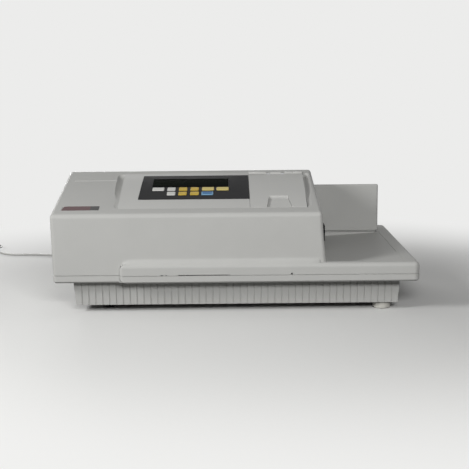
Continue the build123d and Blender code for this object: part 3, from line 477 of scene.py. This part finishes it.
@dataclass(frozen=True)
class Soft:
    """Rubber or soft vinyl with a dusty, dull surface."""

    colour: Triple
    roughness: float = 0.7
    dust: float = 0.2

    def dress(self, shade: Shade) -> None:
        """Builds the surface.

        Args:
            shade: The material's node tree.
        """
        fine = shade.noise(0.5 * MM, 2.0)
        cloud = shade.noise(9 * MM, 4.0, 0.65)
        pale = tuple(min(255, c + 40) for c in self.colour)
        clean = shade.tint(linear(self.colour), fine, 0.08)
        base = shade.blend(cloud.ramp(0.45, 0.8) * self.dust, clean, linear(pale))
        shade.set(Base_Color=base, Roughness=self.roughness + (cloud - 0.5) * 0.2, Specular_IOR_Level=0.35)
        shade.bump(fine, 0.03 * MM)


@dataclass(frozen=True)
class Board:
    """Circuit board: lacquer over copper tracks on a grid, with pale pads."""

    colour: Triple
    pitch: float = 2.54 * MM

    def dress(self, shade: Shade) -> None:
        """Builds the surface.

        Args:
            shade: The material's node tree.
        """
        x, z = shade.axis("x"), shade.axis("z")
        over = shade.noise(11 * MM, 1.0)
        lanes = (x + z).wave(self.pitch).ramp(0.42, 0.5) * (x + z).wave(self.pitch).ramp(0.86, 0.78)
        tracks = lanes * over.ramp(0.45, 0.5)
        dots = shade.cells(self.pitch * 1.6).ramp(0.2, 0.16)
        pale = tuple(min(255, c + 30) for c in self.colour)
        copper = shade.blend(tracks, linear(self.colour), linear(pale))
        shade.set(Base_Color=shade.blend(dots, copper, linear((186, 180, 160))), Metallic=dots * 0.7,
                  Roughness=0.34 + over * 0.14, Coat_Weight=0.3)
        shade.bump(tracks + dots, 0.04 * MM)


@dataclass(frozen=True)
class Sintered:
    """Porous bearing bronze."""

    colour: Triple

    def dress(self, shade: Shade) -> None:
        """Builds the surface.

        Args:
            shade: The material's node tree.
        """
        pores = shade.cells(0.5 * MM)
        broad = shade.noise(5 * MM, 3.0)
        shade.set(Base_Color=shade.tint(linear(self.colour), broad, 0.18), Metallic=0.9,
                  Roughness=0.42 + pores * 0.2)
        shade.bump(pores, 0.03 * MM)


@dataclass(frozen=True)
class CoatedGlass:
    """Interference filter glass with a shifting reflective tint."""

    colour: Triple
    second: Triple

    def dress(self, shade: Shade) -> None:
        """Builds the surface.

        Args:
            shade: The material's node tree.
        """
        broad = shade.noise(9 * MM, 1.0)
        shade.set(Base_Color=shade.blend(broad, linear(self.colour), linear(self.second)), Metallic=0.55,
                  Roughness=0.06 + broad * 0.05, Coat_Weight=1.0)
        shade.bump(broad, 0.01 * MM)


def key_cap(colour: Triple) -> Moulded:
    """Finish of a key's fine-grained cap in a colour."""
    return Moulded(colour, roughness=0.45, grain=0.3 * MM, depth=0.015 * MM, wear=0.03)


class Finish(Enum):
    """Every finish on the instrument."""

    CASE = Moulded((182, 182, 179), roughness=0.52)
    DECK = Moulded((191, 191, 188), roughness=0.46, grain=0.4 * MM, depth=0.03 * MM)
    BLACK_PLASTIC = Moulded((30, 30, 31), grain=0.4 * MM, depth=0.03 * MM, wear=0.1, mottle=0.1)
    NATURAL_PLASTIC = Moulded((222, 219, 207), roughness=0.42, grain=0.7 * MM, depth=0.015 * MM, wear=0.05)
    OVERLAY = Film((50, 50, 51))
    WINDOW = Tinted((9, 12, 10), glow=(20, 30, 18))
    BADGE = Inlay(left=(66, 22, 28), right=(12, 11, 12), change_x=-228.5 * MM)
    KEY_WHITE = key_cap((206, 206, 202))
    KEY_YELLOW = key_cap((196, 168, 70))
    KEY_CREAM = key_cap((206, 190, 116))
    KEY_BLUE = key_cap((128, 170, 200))
    KEY_BLUE_FACE = key_cap((52, 104, 150))
    BOARD = Board((28, 92, 58))
    STEEL = Metal((196, 197, 200), roughness=0.2)
    ALUMINIUM = Metal((186, 188, 192), roughness=0.36, along=(0.05, 1.0, 1.0), line=0.2 * MM)
    CAST = Metal((150, 152, 156), roughness=0.5, along=(1.0, 1.0, 1.0), line=0.8 * MM)
    MOTOR = Coated((40, 40, 42), roughness=0.42)
    SHEET = Coated((172, 172, 168))
    ZINC = Metal((176, 178, 176), roughness=0.36, along=(1.0, 1.0, 1.0), line=7 * MM)
    BRONZE = Sintered((178, 138, 84))
    FILTER = CoatedGlass((90, 60, 120), second=(60, 110, 120))
    BLACK_RUBBER = Soft((28, 28, 29), roughness=0.78)
    PALE_RUBBER = Soft((196, 194, 187), roughness=0.62, dust=0.3)
    SHEATH = Soft((196, 196, 192), roughness=0.5, dust=0.15)

    def material(self) -> bpy.types.Material:
        """Material of this finish, which is made once.

        Returns:
            The material.
        """
        name = "finish_" + self.name.lower()
        made = bpy.data.materials.get(name)
        if made is None:
            shade = Shade(name)
            self.value.dress(shade)
            made = shade.material
        return made


def wear_finish(piece: NodeObject, finish: Finish) -> None:
    """Puts one finish on a whole piece.

    Args:
        piece: The object to dress.
        finish: Its finish.
    """
    piece.data.materials.clear()
    piece.data.materials.append(finish.material())
    log.info("%s wears %s", piece.name, finish.name.lower())


def dress_nodes(finish: Finish, *names: str) -> None:
    """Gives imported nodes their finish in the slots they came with.

    Args:
        finish: The finish.
        names: The nodes.
    """
    for name in names:
        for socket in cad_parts[name].material_slots:
            socket.material = finish.material()
        log.info("%s wears %s", name, finish.name.lower())


def weld(name: str) -> NodeObject:
    """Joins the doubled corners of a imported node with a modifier.

    Args:
        name: The node.

    Returns:
        The node's object.
    """
    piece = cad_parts[name]
    piece.modifiers.new("weld", "WELD").merge_threshold = WELD_REACH
    return piece


def round_edges(width: float, *names: str) -> None:
    """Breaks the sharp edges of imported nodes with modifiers.

    Args:
        width: Width of the broken edge.
        names: The nodes.
    """
    for name in names:
        bevel = weld(name).modifiers.new("broken_edge", "BEVEL")
        bevel.width = width
        bevel.segments = 2
        bevel.limit_method = "ANGLE"
        bevel.angle_limit = SHARP


class Form:
    """Faces of one piece or cut, gathered in a mesh before the object is made."""

    def __init__(self) -> None:
        """Starts with an empty mesh."""
        self.mesh = bmesh.new()

    def loft(self, rings: list[list[Triple]]) -> None:
        """Adds a closed skin over rings that have as many points each.

        Args:
            rings: The rings in order. The first and last are capped.
        """
        rows = [[self.mesh.verts.new(place) for place in ring] for ring in rings]
        for near, far in zip(rows, rows[1:]):
            for i in range(len(near)):
                j = (i + 1) % len(near)
                self.mesh.faces.new((near[i], near[j], far[j], far[i]))
        self.mesh.faces.new(rows[0][::-1])
        self.mesh.faces.new(rows[-1])

    def bar(self, outline: list[Pair], front: float, back: float) -> None:
        """Adds a bar along Y.

        Args:
            outline: Its section as X and Z.
            front: Its lower Y.
            back: Its higher Y.
        """
        self.loft([[(x, y, z) for x, z in outline] for y in (front, back)])

    def _object(self, name: str) -> NodeObject:
        """Makes an object of the gathered faces.

        Args:
            name: Its name.

        Returns:
            The object, without a finish.
        """
        bmesh.ops.recalc_face_normals(self.mesh, faces=self.mesh.faces[:])
        data = bpy.data.meshes.new(name)
        self.mesh.to_mesh(data)
        self.mesh.free()
        data.shade_smooth()
        data.set_sharp_from_angle(angle=SHARP)
        made = bpy.data.objects.new(name, data)
        bpy.context.scene.collection.objects.link(made)
        return made

    def piece(self, name: str, finish: Finish, body: str, slot: str) -> None:
        """Makes a finished piece.

        Args:
            name: Its name.
            finish: Its finish.
            body: The body that it rides on.
            slot: Not used.
        """
        made = self._object(name)
        wear_finish(made, finish)
        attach(made, body)

    def cut(self, name: str, *nodes: str) -> None:
        """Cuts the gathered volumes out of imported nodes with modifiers.

        Args:
            name: Name of the hidden cutting object.
            nodes: The nodes that are cut.
        """
        made = self._object(name)
        made.hide_render = True
        made.hide_viewport = True
        for node in nodes:
            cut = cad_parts[node].modifiers.new(name, "BOOLEAN")
            cut.operation = "DIFFERENCE"
            cut.solver = "EXACT"
            cut.object = made


def arc(centre: Pair, radius: float, start: float, end: float, steps: int = 8) -> list[Pair]:
    """Points along an arc.

    Args:
        centre: Its centre.
        radius: Its radius.
        start: First angle in degrees.
        end: Last angle in degrees.
        steps: Number of equal steps.

    Returns:
        The points, one more than the steps.
    """
    angles = (math.radians(start + (end - start) * i / steps) for i in range(steps + 1))
    return [(centre[0] + radius * math.cos(a), centre[1] + radius * math.sin(a)) for a in angles]


def tapered(ends: Pair, taper: tuple[Pair, ...]) -> list[Pair]:
    """Places along a piece whose two ends taper alike.

    Args:
        ends: X of both ends.
        taper: Distances from an end, each with a value for the section there.

    Returns:
        X and value of each section, from the lower end to the higher.
    """
    near = [(ends[0] + run, value) for run, value in taper]
    return near + [(ends[1] - run, value) for run, value in reversed(taper)]


def slope_z(y: float) -> float:
    """Height of the housing's sloped top at a depth."""
    return SLOPE_START[1] + (y - SLOPE_START[0]) * SLOPE


@dataclass
class Studio:
    """Camera, lights, floor and surroundings."""

    eye: Triple = (-5.74 * MM, -1754.39 * MM, 390.14 * MM)
    pitch: float = 0.16512
    yaw: float = 0.00335
    roll: float = 0.00913
    lens: float = 78.29
    floor_side: float = 60.0
    floor_colour: Triple = (234, 234, 232)
    pale: Triple = (236, 236, 235)
    bounce_colour: Triple = (124, 124, 123)
    world_strength: float = 0.1
    fade: Pair = (0.4, 1.0)
    fade_middle_y: float = -0.1
    sensor: float = 36.0
    clip: Pair = (0.05, 200.0)
    aim: Triple = (0.0, -0.1, 0.12)
    key_place: Triple = (-1.4, -1.03, 0.95)
    key_side: float = 0.5
    key_power: float = 20.0
    front_place: Triple = (0.25, -1.75, 0.81)
    front_size: Pair = (0.7, 0.3)
    front_power: float = 17.0
    rear_place: Triple = (-0.5, 2.1, 0.42)
    rear_size: Pair = (1.0, 0.4)
    rear_power: float = 24.0

    def camera(self) -> None:
        """Sets the camera at the photograph's place and angle."""
        data = bpy.data.cameras.new("camera")
        data.lens, data.sensor_width = self.lens, self.sensor
        data.clip_start, data.clip_end = self.clip
        made = bpy.data.objects.new("camera", data)
        bpy.context.scene.collection.objects.link(made)
        level = Vector((math.sin(self.yaw), math.cos(self.yaw), 0))
        right = Vector((math.cos(self.yaw), -math.sin(self.yaw), 0))
        forward = level * math.cos(self.pitch) - Vector((0, 0, math.sin(self.pitch)))
        up = level * math.sin(self.pitch) + Vector((0, 0, math.cos(self.pitch)))
        across = right * math.cos(self.roll) - up * math.sin(self.roll)
        above = right * math.sin(self.roll) + up * math.cos(self.roll)
        turn = Matrix((across, above, -forward)).transposed()
        made.matrix_world = Matrix.Translation(self.eye) @ turn.to_4x4()
        bpy.context.scene.camera = made

    def lamp(self, name: str, place: Triple, size: Pair, power: float) -> None:
        """Adds a soft rectangular lamp.

        Args:
            name: Its name.
            place: Its centre.
            size: Its width and height.
            power: Its strength in watts.
        """
        data = bpy.data.lights.new(name, "AREA")
        data.shape, data.size, data.size_y, data.energy = "RECTANGLE", size[0], size[1], power
        made = bpy.data.objects.new(name, data)
        bpy.context.scene.collection.objects.link(made)
        made.visible_camera = False
        made.location = place
        made.rotation_euler = (Vector(self.aim) - Vector(place)).to_track_quat("-Z", "Y").to_euler()

    def surroundings(self) -> None:
        """Pale world: white to the eye, dimmer as a light."""
        world = bpy.data.worlds.new("surroundings")
        bpy.context.scene.world = world
        world.use_nodes = True
        tree = world.node_tree
        tree.nodes.clear()
        path = tree.nodes.new("ShaderNodeLightPath")
        seen = path.outputs["Is Camera Ray"]
        for ray in ("Is Glossy Ray", "Is Transmission Ray"):
            either = tree.nodes.new("ShaderNodeMath")
            either.operation = "MAXIMUM"
            tree.links.new(seen, either.inputs[0])
            tree.links.new(path.outputs[ray], either.inputs[1])
            seen = either.outputs[0]
        dim, bright = tree.nodes.new("ShaderNodeBackground"), tree.nodes.new("ShaderNodeBackground")
        dim.inputs["Color"].default_value = (1.0, 1.0, 1.0, 1.0)
        dim.inputs["Strength"].default_value = self.world_strength
        bright.inputs["Color"].default_value = linear(self.pale)
        mix = tree.nodes.new("ShaderNodeMixShader")
        tree.links.new(seen, mix.inputs[0])
        tree.links.new(dim.outputs[0], mix.inputs[1])
        tree.links.new(bright.outputs[0], mix.inputs[2])
        output = tree.nodes.new("ShaderNodeOutputWorld")
        tree.links.new(mix.outputs[0], output.inputs["Surface"])

    def floor(self) -> None:
        """Wide plain floor that keeps the object's shadow and fades into the surroundings' colour."""
        mesh = bpy.data.meshes.new("floor")
        half = self.floor_side / 2
        corners = [(-half, -half, 0), (half, -half, 0), (half, half, 0), (-half, half, 0)]
        mesh.from_pydata(corners, [], [(0, 1, 2, 3)])
        made = bpy.data.objects.new("floor", mesh)
        bpy.context.scene.collection.objects.link(made)
        shade = Shade("floor_paper")
        fine = shade.noise(6 * MM, 3.0)
        paper = shade.tint(linear(self.floor_colour), fine, 0.01)
        shade.set(Base_Color=shade.blend(shade.seen(), linear(self.bounce_colour), paper), Roughness=0.9,
                  Specular_IOR_Level=0.1)
        reach = (shade.axis("x") ** 2 + (shade.axis("y") - self.fade_middle_y) ** 2) ** 0.5
        shade.show_far(reach.ramp(*self.fade), linear(self.pale))
        made.data.materials.append(shade.material)

    def build(self) -> None:
        """Sets up the whole studio."""
        self.camera()
        self.surroundings()
        self.floor()
        self.lamp("key_lamp", self.key_place, (self.key_side, self.key_side), self.key_power)
        self.lamp("front_lamp", self.front_place, self.front_size, self.front_power)
        self.lamp("rear_lamp", self.rear_place, self.rear_size, self.rear_power)
        bpy.context.scene.view_settings.view_transform = "Standard"


@dataclass
class Cord:
    """Interface cable: route, put-away coil and the two ends."""

    radius: float = 2.0 * MM
    length: float = 1.5
    lying: float = 2.1 * MM
    route_mm: tuple[Triple, ...] = (
        (-120.0, 226.55, 96.0), (-120.0, 254.55, 96.0), (-126.0, 280.55, 62.0), (-138.0, 298.55, 26.0),
        (-164.0, 318.55, 2.1), (-206.0, 338.55, 2.1), (-250.0, 344.0, 2.1), (-300.0, 333.0, 2.1),
        (-346.0, 324.0, 2.1), (-388.0, 337.0, 2.1), (-424.0, 345.0, 2.1), (-462.0, 342.0, 2.1),
        (-490.0, 362.0, 2.1), (-505.0, 388.0, 2.1))
    exit_mm: tuple[Triple, ...] = (
        (-507.0, 397.5, 6.5), (-503.0, 412.0, 6.2), (-503.0, 427.3, 5.4), (-507.3, 434.7, 5.8),
        (-514.7, 439.0, 6.6), (-519.0, 439.0, 6.6))
    centre: Pair = (-541.0 * MM, 402.0 * MM)
    inner: float = 18.4 * MM
    pitch: float = 4.1 * MM
    turns: int = 3
    points_per_turn: int = 16
    entry_angle: float = 10.0
    layer_gap: float = 0.1 * MM

    def coil_points(self) -> list[Triple]:
        """Control points of the coil: one layer wound inwards on the floor and one outwards on it.

        Returns:
            The points in the order in which the cable passes them.
        """
        outer = self.inner + self.pitch * self.turns
        steps = self.turns * self.points_per_turn
        found = []
        for i in range(2 * steps - 1):
            angle = math.radians(self.entry_angle) + 2 * math.pi * i / self.points_per_turn
            depth = i if i <= steps else 2 * steps - i
            radius = outer - self.pitch * depth / self.points_per_turn
            rise = min(max((i - steps) / 2 + 0.5, 0.0), 1.0)
            height = self.lying + rise * (2 * self.radius + self.layer_gap)
            across, along = radius * math.cos(angle), radius * math.sin(angle)
            found.append((self.centre[0] + across, self.centre[1] + along, height))
        return found

    def build(self) -> None:
        """Makes the cable as one smooth curve from its plug to its far connector."""
        points = [tuple(c * MM for c in p) for p in self.route_mm]
        points += self.coil_points()
        points += [tuple(c * MM for c in p) for p in self.exit_mm]
        curve = bpy.data.curves.new("interface_cable", "CURVE")
        curve.dimensions = "3D"
        spline = curve.splines.new("NURBS")
        spline.points.add(len(points) - 1)
        for spot, place in zip(spline.points, points):
            spot.co = (*place, 1.0)
        spline.order_u = 3
        spline.use_endpoint_u = True
        spline.resolution_u = 6
        curve.bevel_depth = self.radius
        curve.bevel_resolution = 5
        curve.use_fill_caps = True
        made = bpy.data.objects.new("interface_cable", curve)
        bpy.context.scene.collection.objects.link(made)
        wear_finish(made, Finish.SHEATH)
        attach(made, "housing")
        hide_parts("cable", "cable_coil")
        dress_nodes(Finish.SHEATH, "cable_plug")
        dress_nodes(Finish.BLACK_PLASTIC, "cable_end")


@dataclass
class Casing:
    """Covers, base, block and panel."""

    lip_left: float = -181.0 * MM
    lip_top: float = 83.0 * MM
    lip_bottom: float = 52.5 * MM
    lip_front: float = -190.0 * MM
    housing_front: float = -182.1 * MM
    top_round: float = 10.0 * MM
    bottom_round: float = 11.0 * MM
    seam: float = 65.0 * MM
    slots: tuple[Pair, ...] = (
        (-116.8 * MM, -112.2 * MM), (-109.4 * MM, -106.8 * MM), (-89.0 * MM, -8.0 * MM))
    slot_half: float = 0.85 * MM
    slot_depth: float = 4.4 * MM
    slot_proud: float = 1.0 * MM
    pin_hole: Pair = (89.0 * MM, 66.4 * MM)
    pin_radius: float = 1.5 * MM
    spare: float = 5.0 * MM
    wall_y: float = -182.0 * MM
    lip_round: float = 7.0 * MM
    cove_rise: float = 8.0 * MM
    cove_steps: int = 8
    cove_sunk: float = 0.9 * MM
    cove_inset: float = 0.7 * MM
    cove_back: float = 1.0 * MM
    cove_bend: float = 0.9
    cove_shares: tuple[Pair, ...] = (
        (-177.0 * MM, 0.1), (-174.0 * MM, 0.5), (-168.0 * MM, 0.9), (-160.0 * MM, 1.0),
        (120.0 * MM, 1.0), (131.0 * MM, 0.9), (133.5 * MM, 0.6), (135.0 * MM, 0.1))
    recess_x: Pair = (140.3 * MM, 264.0 * MM)
    recess_floor: Pair = (74.0 * MM, 82.2 * MM)
    recess_foot: tuple[Pair, ...] = (
        (109.5 * MM, -2.0 * MM), (104.8 * MM, -1.0 * MM), (105.4 * MM, 0.3 * MM), (106.1 * MM, 0.9 * MM))
    recess_face: float = 106.3 * MM
    line_ends: Pair = (-274.0 * MM, -200.0 * MM)
    line_y: float = -7.0 * MM
    line_half: float = 1.4 * MM
    line_height: float = 0.7 * MM
    line_sunk: float = 0.5 * MM
    line_taper: tuple[Pair, ...] = ((0.0, 0.2), (0.8 * MM, 0.85), (2.0 * MM, 1.0))
    line_section: tuple[Pair, ...] = ((-1.0, 0.3), (-0.6, 1.0), (0.6, 1.0), (1.0, 0.3))
    cut_covers: tuple[str, ...] = ("upper_cover", "lower_cover")
    crisp_angle: float = 35.0

    def lip_end(self) -> None:
        """Rounds the lip's left end, whose corners the moulding has square."""
        left, right = self.lip_left - self.spare, self.lip_left + self.top_round
        low_right = self.lip_left + self.bottom_round
        outline = [(left, self.lip_top + self.spare), (right, self.lip_top + self.spare)]
        outline += arc((right, self.lip_top - self.top_round), self.top_round, 90, 180)
        outline += arc((low_right, self.lip_bottom + self.bottom_round), self.bottom_round, 180, 270)
        outline += [(low_right, self.lip_bottom - self.spare), (left, self.lip_bottom - self.spare)]
        form = Form()
        form.bar(outline, self.lip_front - self.spare, self.housing_front)
        form.cut("lip_end_cut", *self.cut_covers)

    def seam_slots(self) -> None:
        """Sinks the latch slots and a pin hole into the lip's seam."""
        form = Form()
        front, back = self.lip_front - self.slot_proud, self.lip_front + self.slot_depth
        low, high = self.seam - self.slot_half, self.seam + self.slot_half
        for left, right in self.slots:
            form.bar([(left, low), (right, low), (right, high), (left, high)], front, back)
        form.bar(arc(self.pin_hole, self.pin_radius, 0, 360, 16)[:-1], front, back)
        form.cut("seam_cut", *self.cut_covers)

    def cove_section(self, share: float) -> list[Pair]:
        """Section of the cove over the lip.

        Args:
            share: The cove's size there as a share of its full size.

        Returns:
            Its points as Y and Z.
        """
        wall, top = self.wall_y, self.lip_top
        reach = self.lip_round * math.sin(math.pi / 4)
        low = (self.lip_front + self.lip_round - reach, top - self.lip_round + reach)
        bend = low[1] + wall - low[0]
        drop = (1 - share) * (bend - top)
        start = (wall, bend + (top + self.cove_rise - bend) * share)
        middle = (wall, bend - drop * self.cove_bend)
        end = (wall + (low[0] - wall) * share, bend + (low[1] - bend) * share - drop)
        points = []
        for i in range(self.cove_steps + 1):
            u = i / self.cove_steps
            parts = ((1 - u) ** 2, 2 * u * (1 - u), u * u)
            points.append(tuple(sum(w * c for w, c in zip(parts, axis)) for axis in zip(start, middle, end)))
        back, under = wall + self.cove_back, end[1] - self.cove_sunk
        return points + [(end[0] + self.cove_inset, under), (back, under), (back, start[1])]

    def lip_cove(self) -> None:
        """Softens the inner corner where the lip's top runs into the housing's front."""
        form = Form()
        form.loft([[(x, y, z) for y, z in self.cove_section(share)] for x, share in self.cove_shares])
        form.piece("lip_cove", Finish.CASE, "housing", "housing_plastic")

    def recess_wall(self) -> None:
        """Closes the recess's rear edge with a wall that stands on its sloping floor."""
        rings = []
        for x, floor in zip(self.recess_x, self.recess_floor):
            foot = [(x, y, floor + up) for y, up in self.recess_foot]
            head = [(x, y, self.lip_top) for y in (self.recess_face, self.recess_foot[0][0])]
            rings.append(foot + head)
        form = Form()
        form.loft(rings)
        form.piece("recess_wall", Finish.CASE, "housing", "housing_plastic")

    def raised_line(self) -> None:
        """Adds the plain raised line at the left of the key deck."""
        rings = []
        for x, share in tapered(self.line_ends, self.line_taper):
            half, height = self.line_half * share, self.line_height * share
            over = [(half * side, height * up) for side, up in self.line_section]
            profile = [(-half, -self.line_sunk), *over, (half, -self.line_sunk)]
            places = [(self.line_y + across, up) for across, up in profile]
            rings.append([(x, y, slope_z(y) + up) for y, up in places])
        form = Form()
        form.loft(rings)
        form.piece("raised_line", Finish.CASE, "housing", "housing_plastic")

    def build(self) -> None:
        """Dresses the shells and adds their fine forms."""
        covers = [weld(name) for name in self.cut_covers]
        self.lip_end()
        self.seam_slots()
        for cover in covers:
            cover.modifiers.new("crisp_edges", "EDGE_SPLIT").split_angle = math.radians(self.crisp_angle)
            cover.modifiers.new("even_faces", "WEIGHTED_NORMAL")
        self.lip_cove()
        self.recess_wall()
        self.raised_line()
        dress_nodes(Finish.CASE, "upper_cover", "lower_cover", "base_pan", "rear_block")
        dress_nodes(Finish.SHEET, "rear_panel")
        dress_nodes(Finish.BADGE, "badge")
        dress_nodes(Finish.STEEL, "case_screws")
        dress_nodes(Finish.BLACK_RUBBER, "dark_feet")
        dress_nodes(Finish.PALE_RUBBER, "pale_foot")
        round_edges(0.5 * MM, "base_pan", "badge")


@dataclass
class KeyField:
    """Deck with its overlay, window, display and keys."""

    key_tilt: float = 0.2117
    edge_drop: float = 0.35 * MM
    finishes: tuple[Finish, ...] = (
        Finish.KEY_WHITE, Finish.KEY_WHITE, Finish.KEY_YELLOW, Finish.KEY_YELLOW, Finish.KEY_CREAM,
        Finish.KEY_CREAM, Finish.KEY_WHITE, Finish.KEY_YELLOW, Finish.KEY_YELLOW, Finish.KEY_BLUE)
    rim: float = 1.5 * MM
    face_turn: float = 1.2 * MM
    face_rings: tuple[Pair, ...] = ((-0.5 * MM, 0.0), (0.14 * MM, 0.0), (0.2 * MM, 0.2 * MM))

    def blue_face(self) -> None:
        """Adds the darker face inside the blue key's pale rim."""
        low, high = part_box("key_10")
        inset = self.rim + self.face_turn
        left, right = low[0] + inset, high[0] - inset
        front, back = low[1] + inset, high[1] - inset
        corners = ((right, back), (left, back), (left, front), (right, front))
        rings = []
        for up, inward in self.face_rings:
            outline = []
            for quarter, centre in enumerate(corners):
                outline += arc(centre, self.face_turn - inward, 90 * quarter, 90 * quarter + 90, 4)
            rings.append([(x, y, self.top_z(high, y) + up) for x, y in outline])
        form = Form()
        form.loft(rings)
        form.piece("blue_key_face", Finish.KEY_BLUE_FACE, "button_10", "key_blue")

    def top_z(self, high: Triple, y: float) -> float:
        """Height of the blue key's tilted top at a depth."""
        return high[2] + self.edge_drop - (high[1] - y) * self.key_tilt

    def build(self) -> None:
        """Dresses the deck and what it carries."""
        self.blue_face()
        dress_nodes(Finish.DECK, "control_deck")
        dress_nodes(Finish.OVERLAY, "keypad_overlay")
        dress_nodes(Finish.WINDOW, "display_window")
        dress_nodes(Finish.BOARD, "display_module", "key_board")
        for number, finish in enumerate(self.finishes, start=1):
            dress_nodes(finish, "key_" + str(number))


@dataclass
class Lid:
    """Cuvette lid, its pin and the holder under it."""

    axis: Pair = (27.0 * MM, 199.957 * MM)
    lug_radius: float = 4.9 * MM
    lug_sweep: Pair = (22.0, 158.0)
    lug_taper: tuple[Pair, ...] = ((0.0, 0.5 * MM), (0.4 * MM, 0.15 * MM), (0.9 * MM, 0.0))
    lugs: tuple[Pair, ...] = ((25.6 * MM, 56.8 * MM), (88.4 * MM, 102.9 * MM), (104.0 * MM, 119.0 * MM))

    def lug(self, number: int, ends: Pair) -> None:
        """Adds one rounded hinge lug over the lid's knuckle.

        Args:
            number: The lug's number from the left.
            ends: X of its two ends.
        """
        rings = []
        for x, drop in tapered(ends, self.lug_taper):
            rings.append([(x, y, z) for y, z in arc(self.axis, self.lug_radius - drop, *self.lug_sweep, 14)])
        form = Form()
        form.loft(rings)
        form.piece("hinge_lug_" + str(number), Finish.DECK, "lid", "housing_plastic")

    def build(self) -> None:
        """Dresses the lid."""
        for number, ends in enumerate(self.lugs, start=1):
            self.lug(number, ends)
        dress_nodes(Finish.DECK, "cuvette_lid")
        dress_nodes(Finish.STEEL, "lid_hinge_pin")
        dress_nodes(Finish.BLACK_PLASTIC, "cuvette_holder")


@dataclass
class Drawer:
    """Plate drawer with its frame, drive and guides."""

    def build(self) -> None:
        """Dresses the drawer."""
        dress_nodes(Finish.BLACK_PLASTIC, "drawer_bezel", "drawer_front", "drawer_tray", "plate_clamp")
        dress_nodes(Finish.BRONZE, "tray_bushes")
        dress_nodes(Finish.STEEL, "guide_rods", "clamp_pin")
        dress_nodes(Finish.ALUMINIUM, "rod_posts", "motor_bracket")
        dress_nodes(Finish.NATURAL_PLASTIC, "drawer_rack", "drive_pinion")
        dress_nodes(Finish.MOTOR, "drawer_motor")
        round_edges(0.4 * MM, "drawer_front", "drawer_tray", "drawer_motor", "motor_bracket")


@dataclass
class Optics:
    """Lamp, filters, optical box and light guides."""

    def build(self) -> None:
        """Dresses the optics."""
        dress_nodes(Finish.CAST, "monochromator", "optics_head")
        dress_nodes(Finish.ALUMINIUM, "flash_lamp", "filter_wheel", "grating")
        dress_nodes(Finish.FILTER, "filters")
        dress_nodes(Finish.MOTOR, "grating_motor", "filter_motor")
        dress_nodes(Finish.BOARD, "detector_bar")
        round_edges(0.5 * MM, "monochromator", "optics_head", "flash_lamp")


@dataclass
class Electronics:
    """Board, supply, fan, inlet, switch and socket."""

    def build(self) -> None:
        """Dresses the electrical parts."""
        dress_nodes(Finish.BOARD, "main_board")
        dress_nodes(Finish.ZINC, "power_supply")
        dress_nodes(Finish.BLACK_PLASTIC, "fan_frame", "fan_rotor", "power_inlet", "switch_frame",
                    "power_rocker", "cable_socket")
        round_edges(0.4 * MM, "power_supply", "power_inlet", "switch_frame")


def main() -> None:
    """Builds the sub-assemblies in order and reports each piece and sub-assembly."""
    logging.basicConfig(level=logging.INFO, format="%(message)s")
    for part in (Studio(), Cord(), Casing(), KeyField(), Lid(), Drawer(), Optics(), Electronics()):
        part.build()
        log.info("built %s", type(part).__name__.lower())


if __name__ == "__main__":
    main()
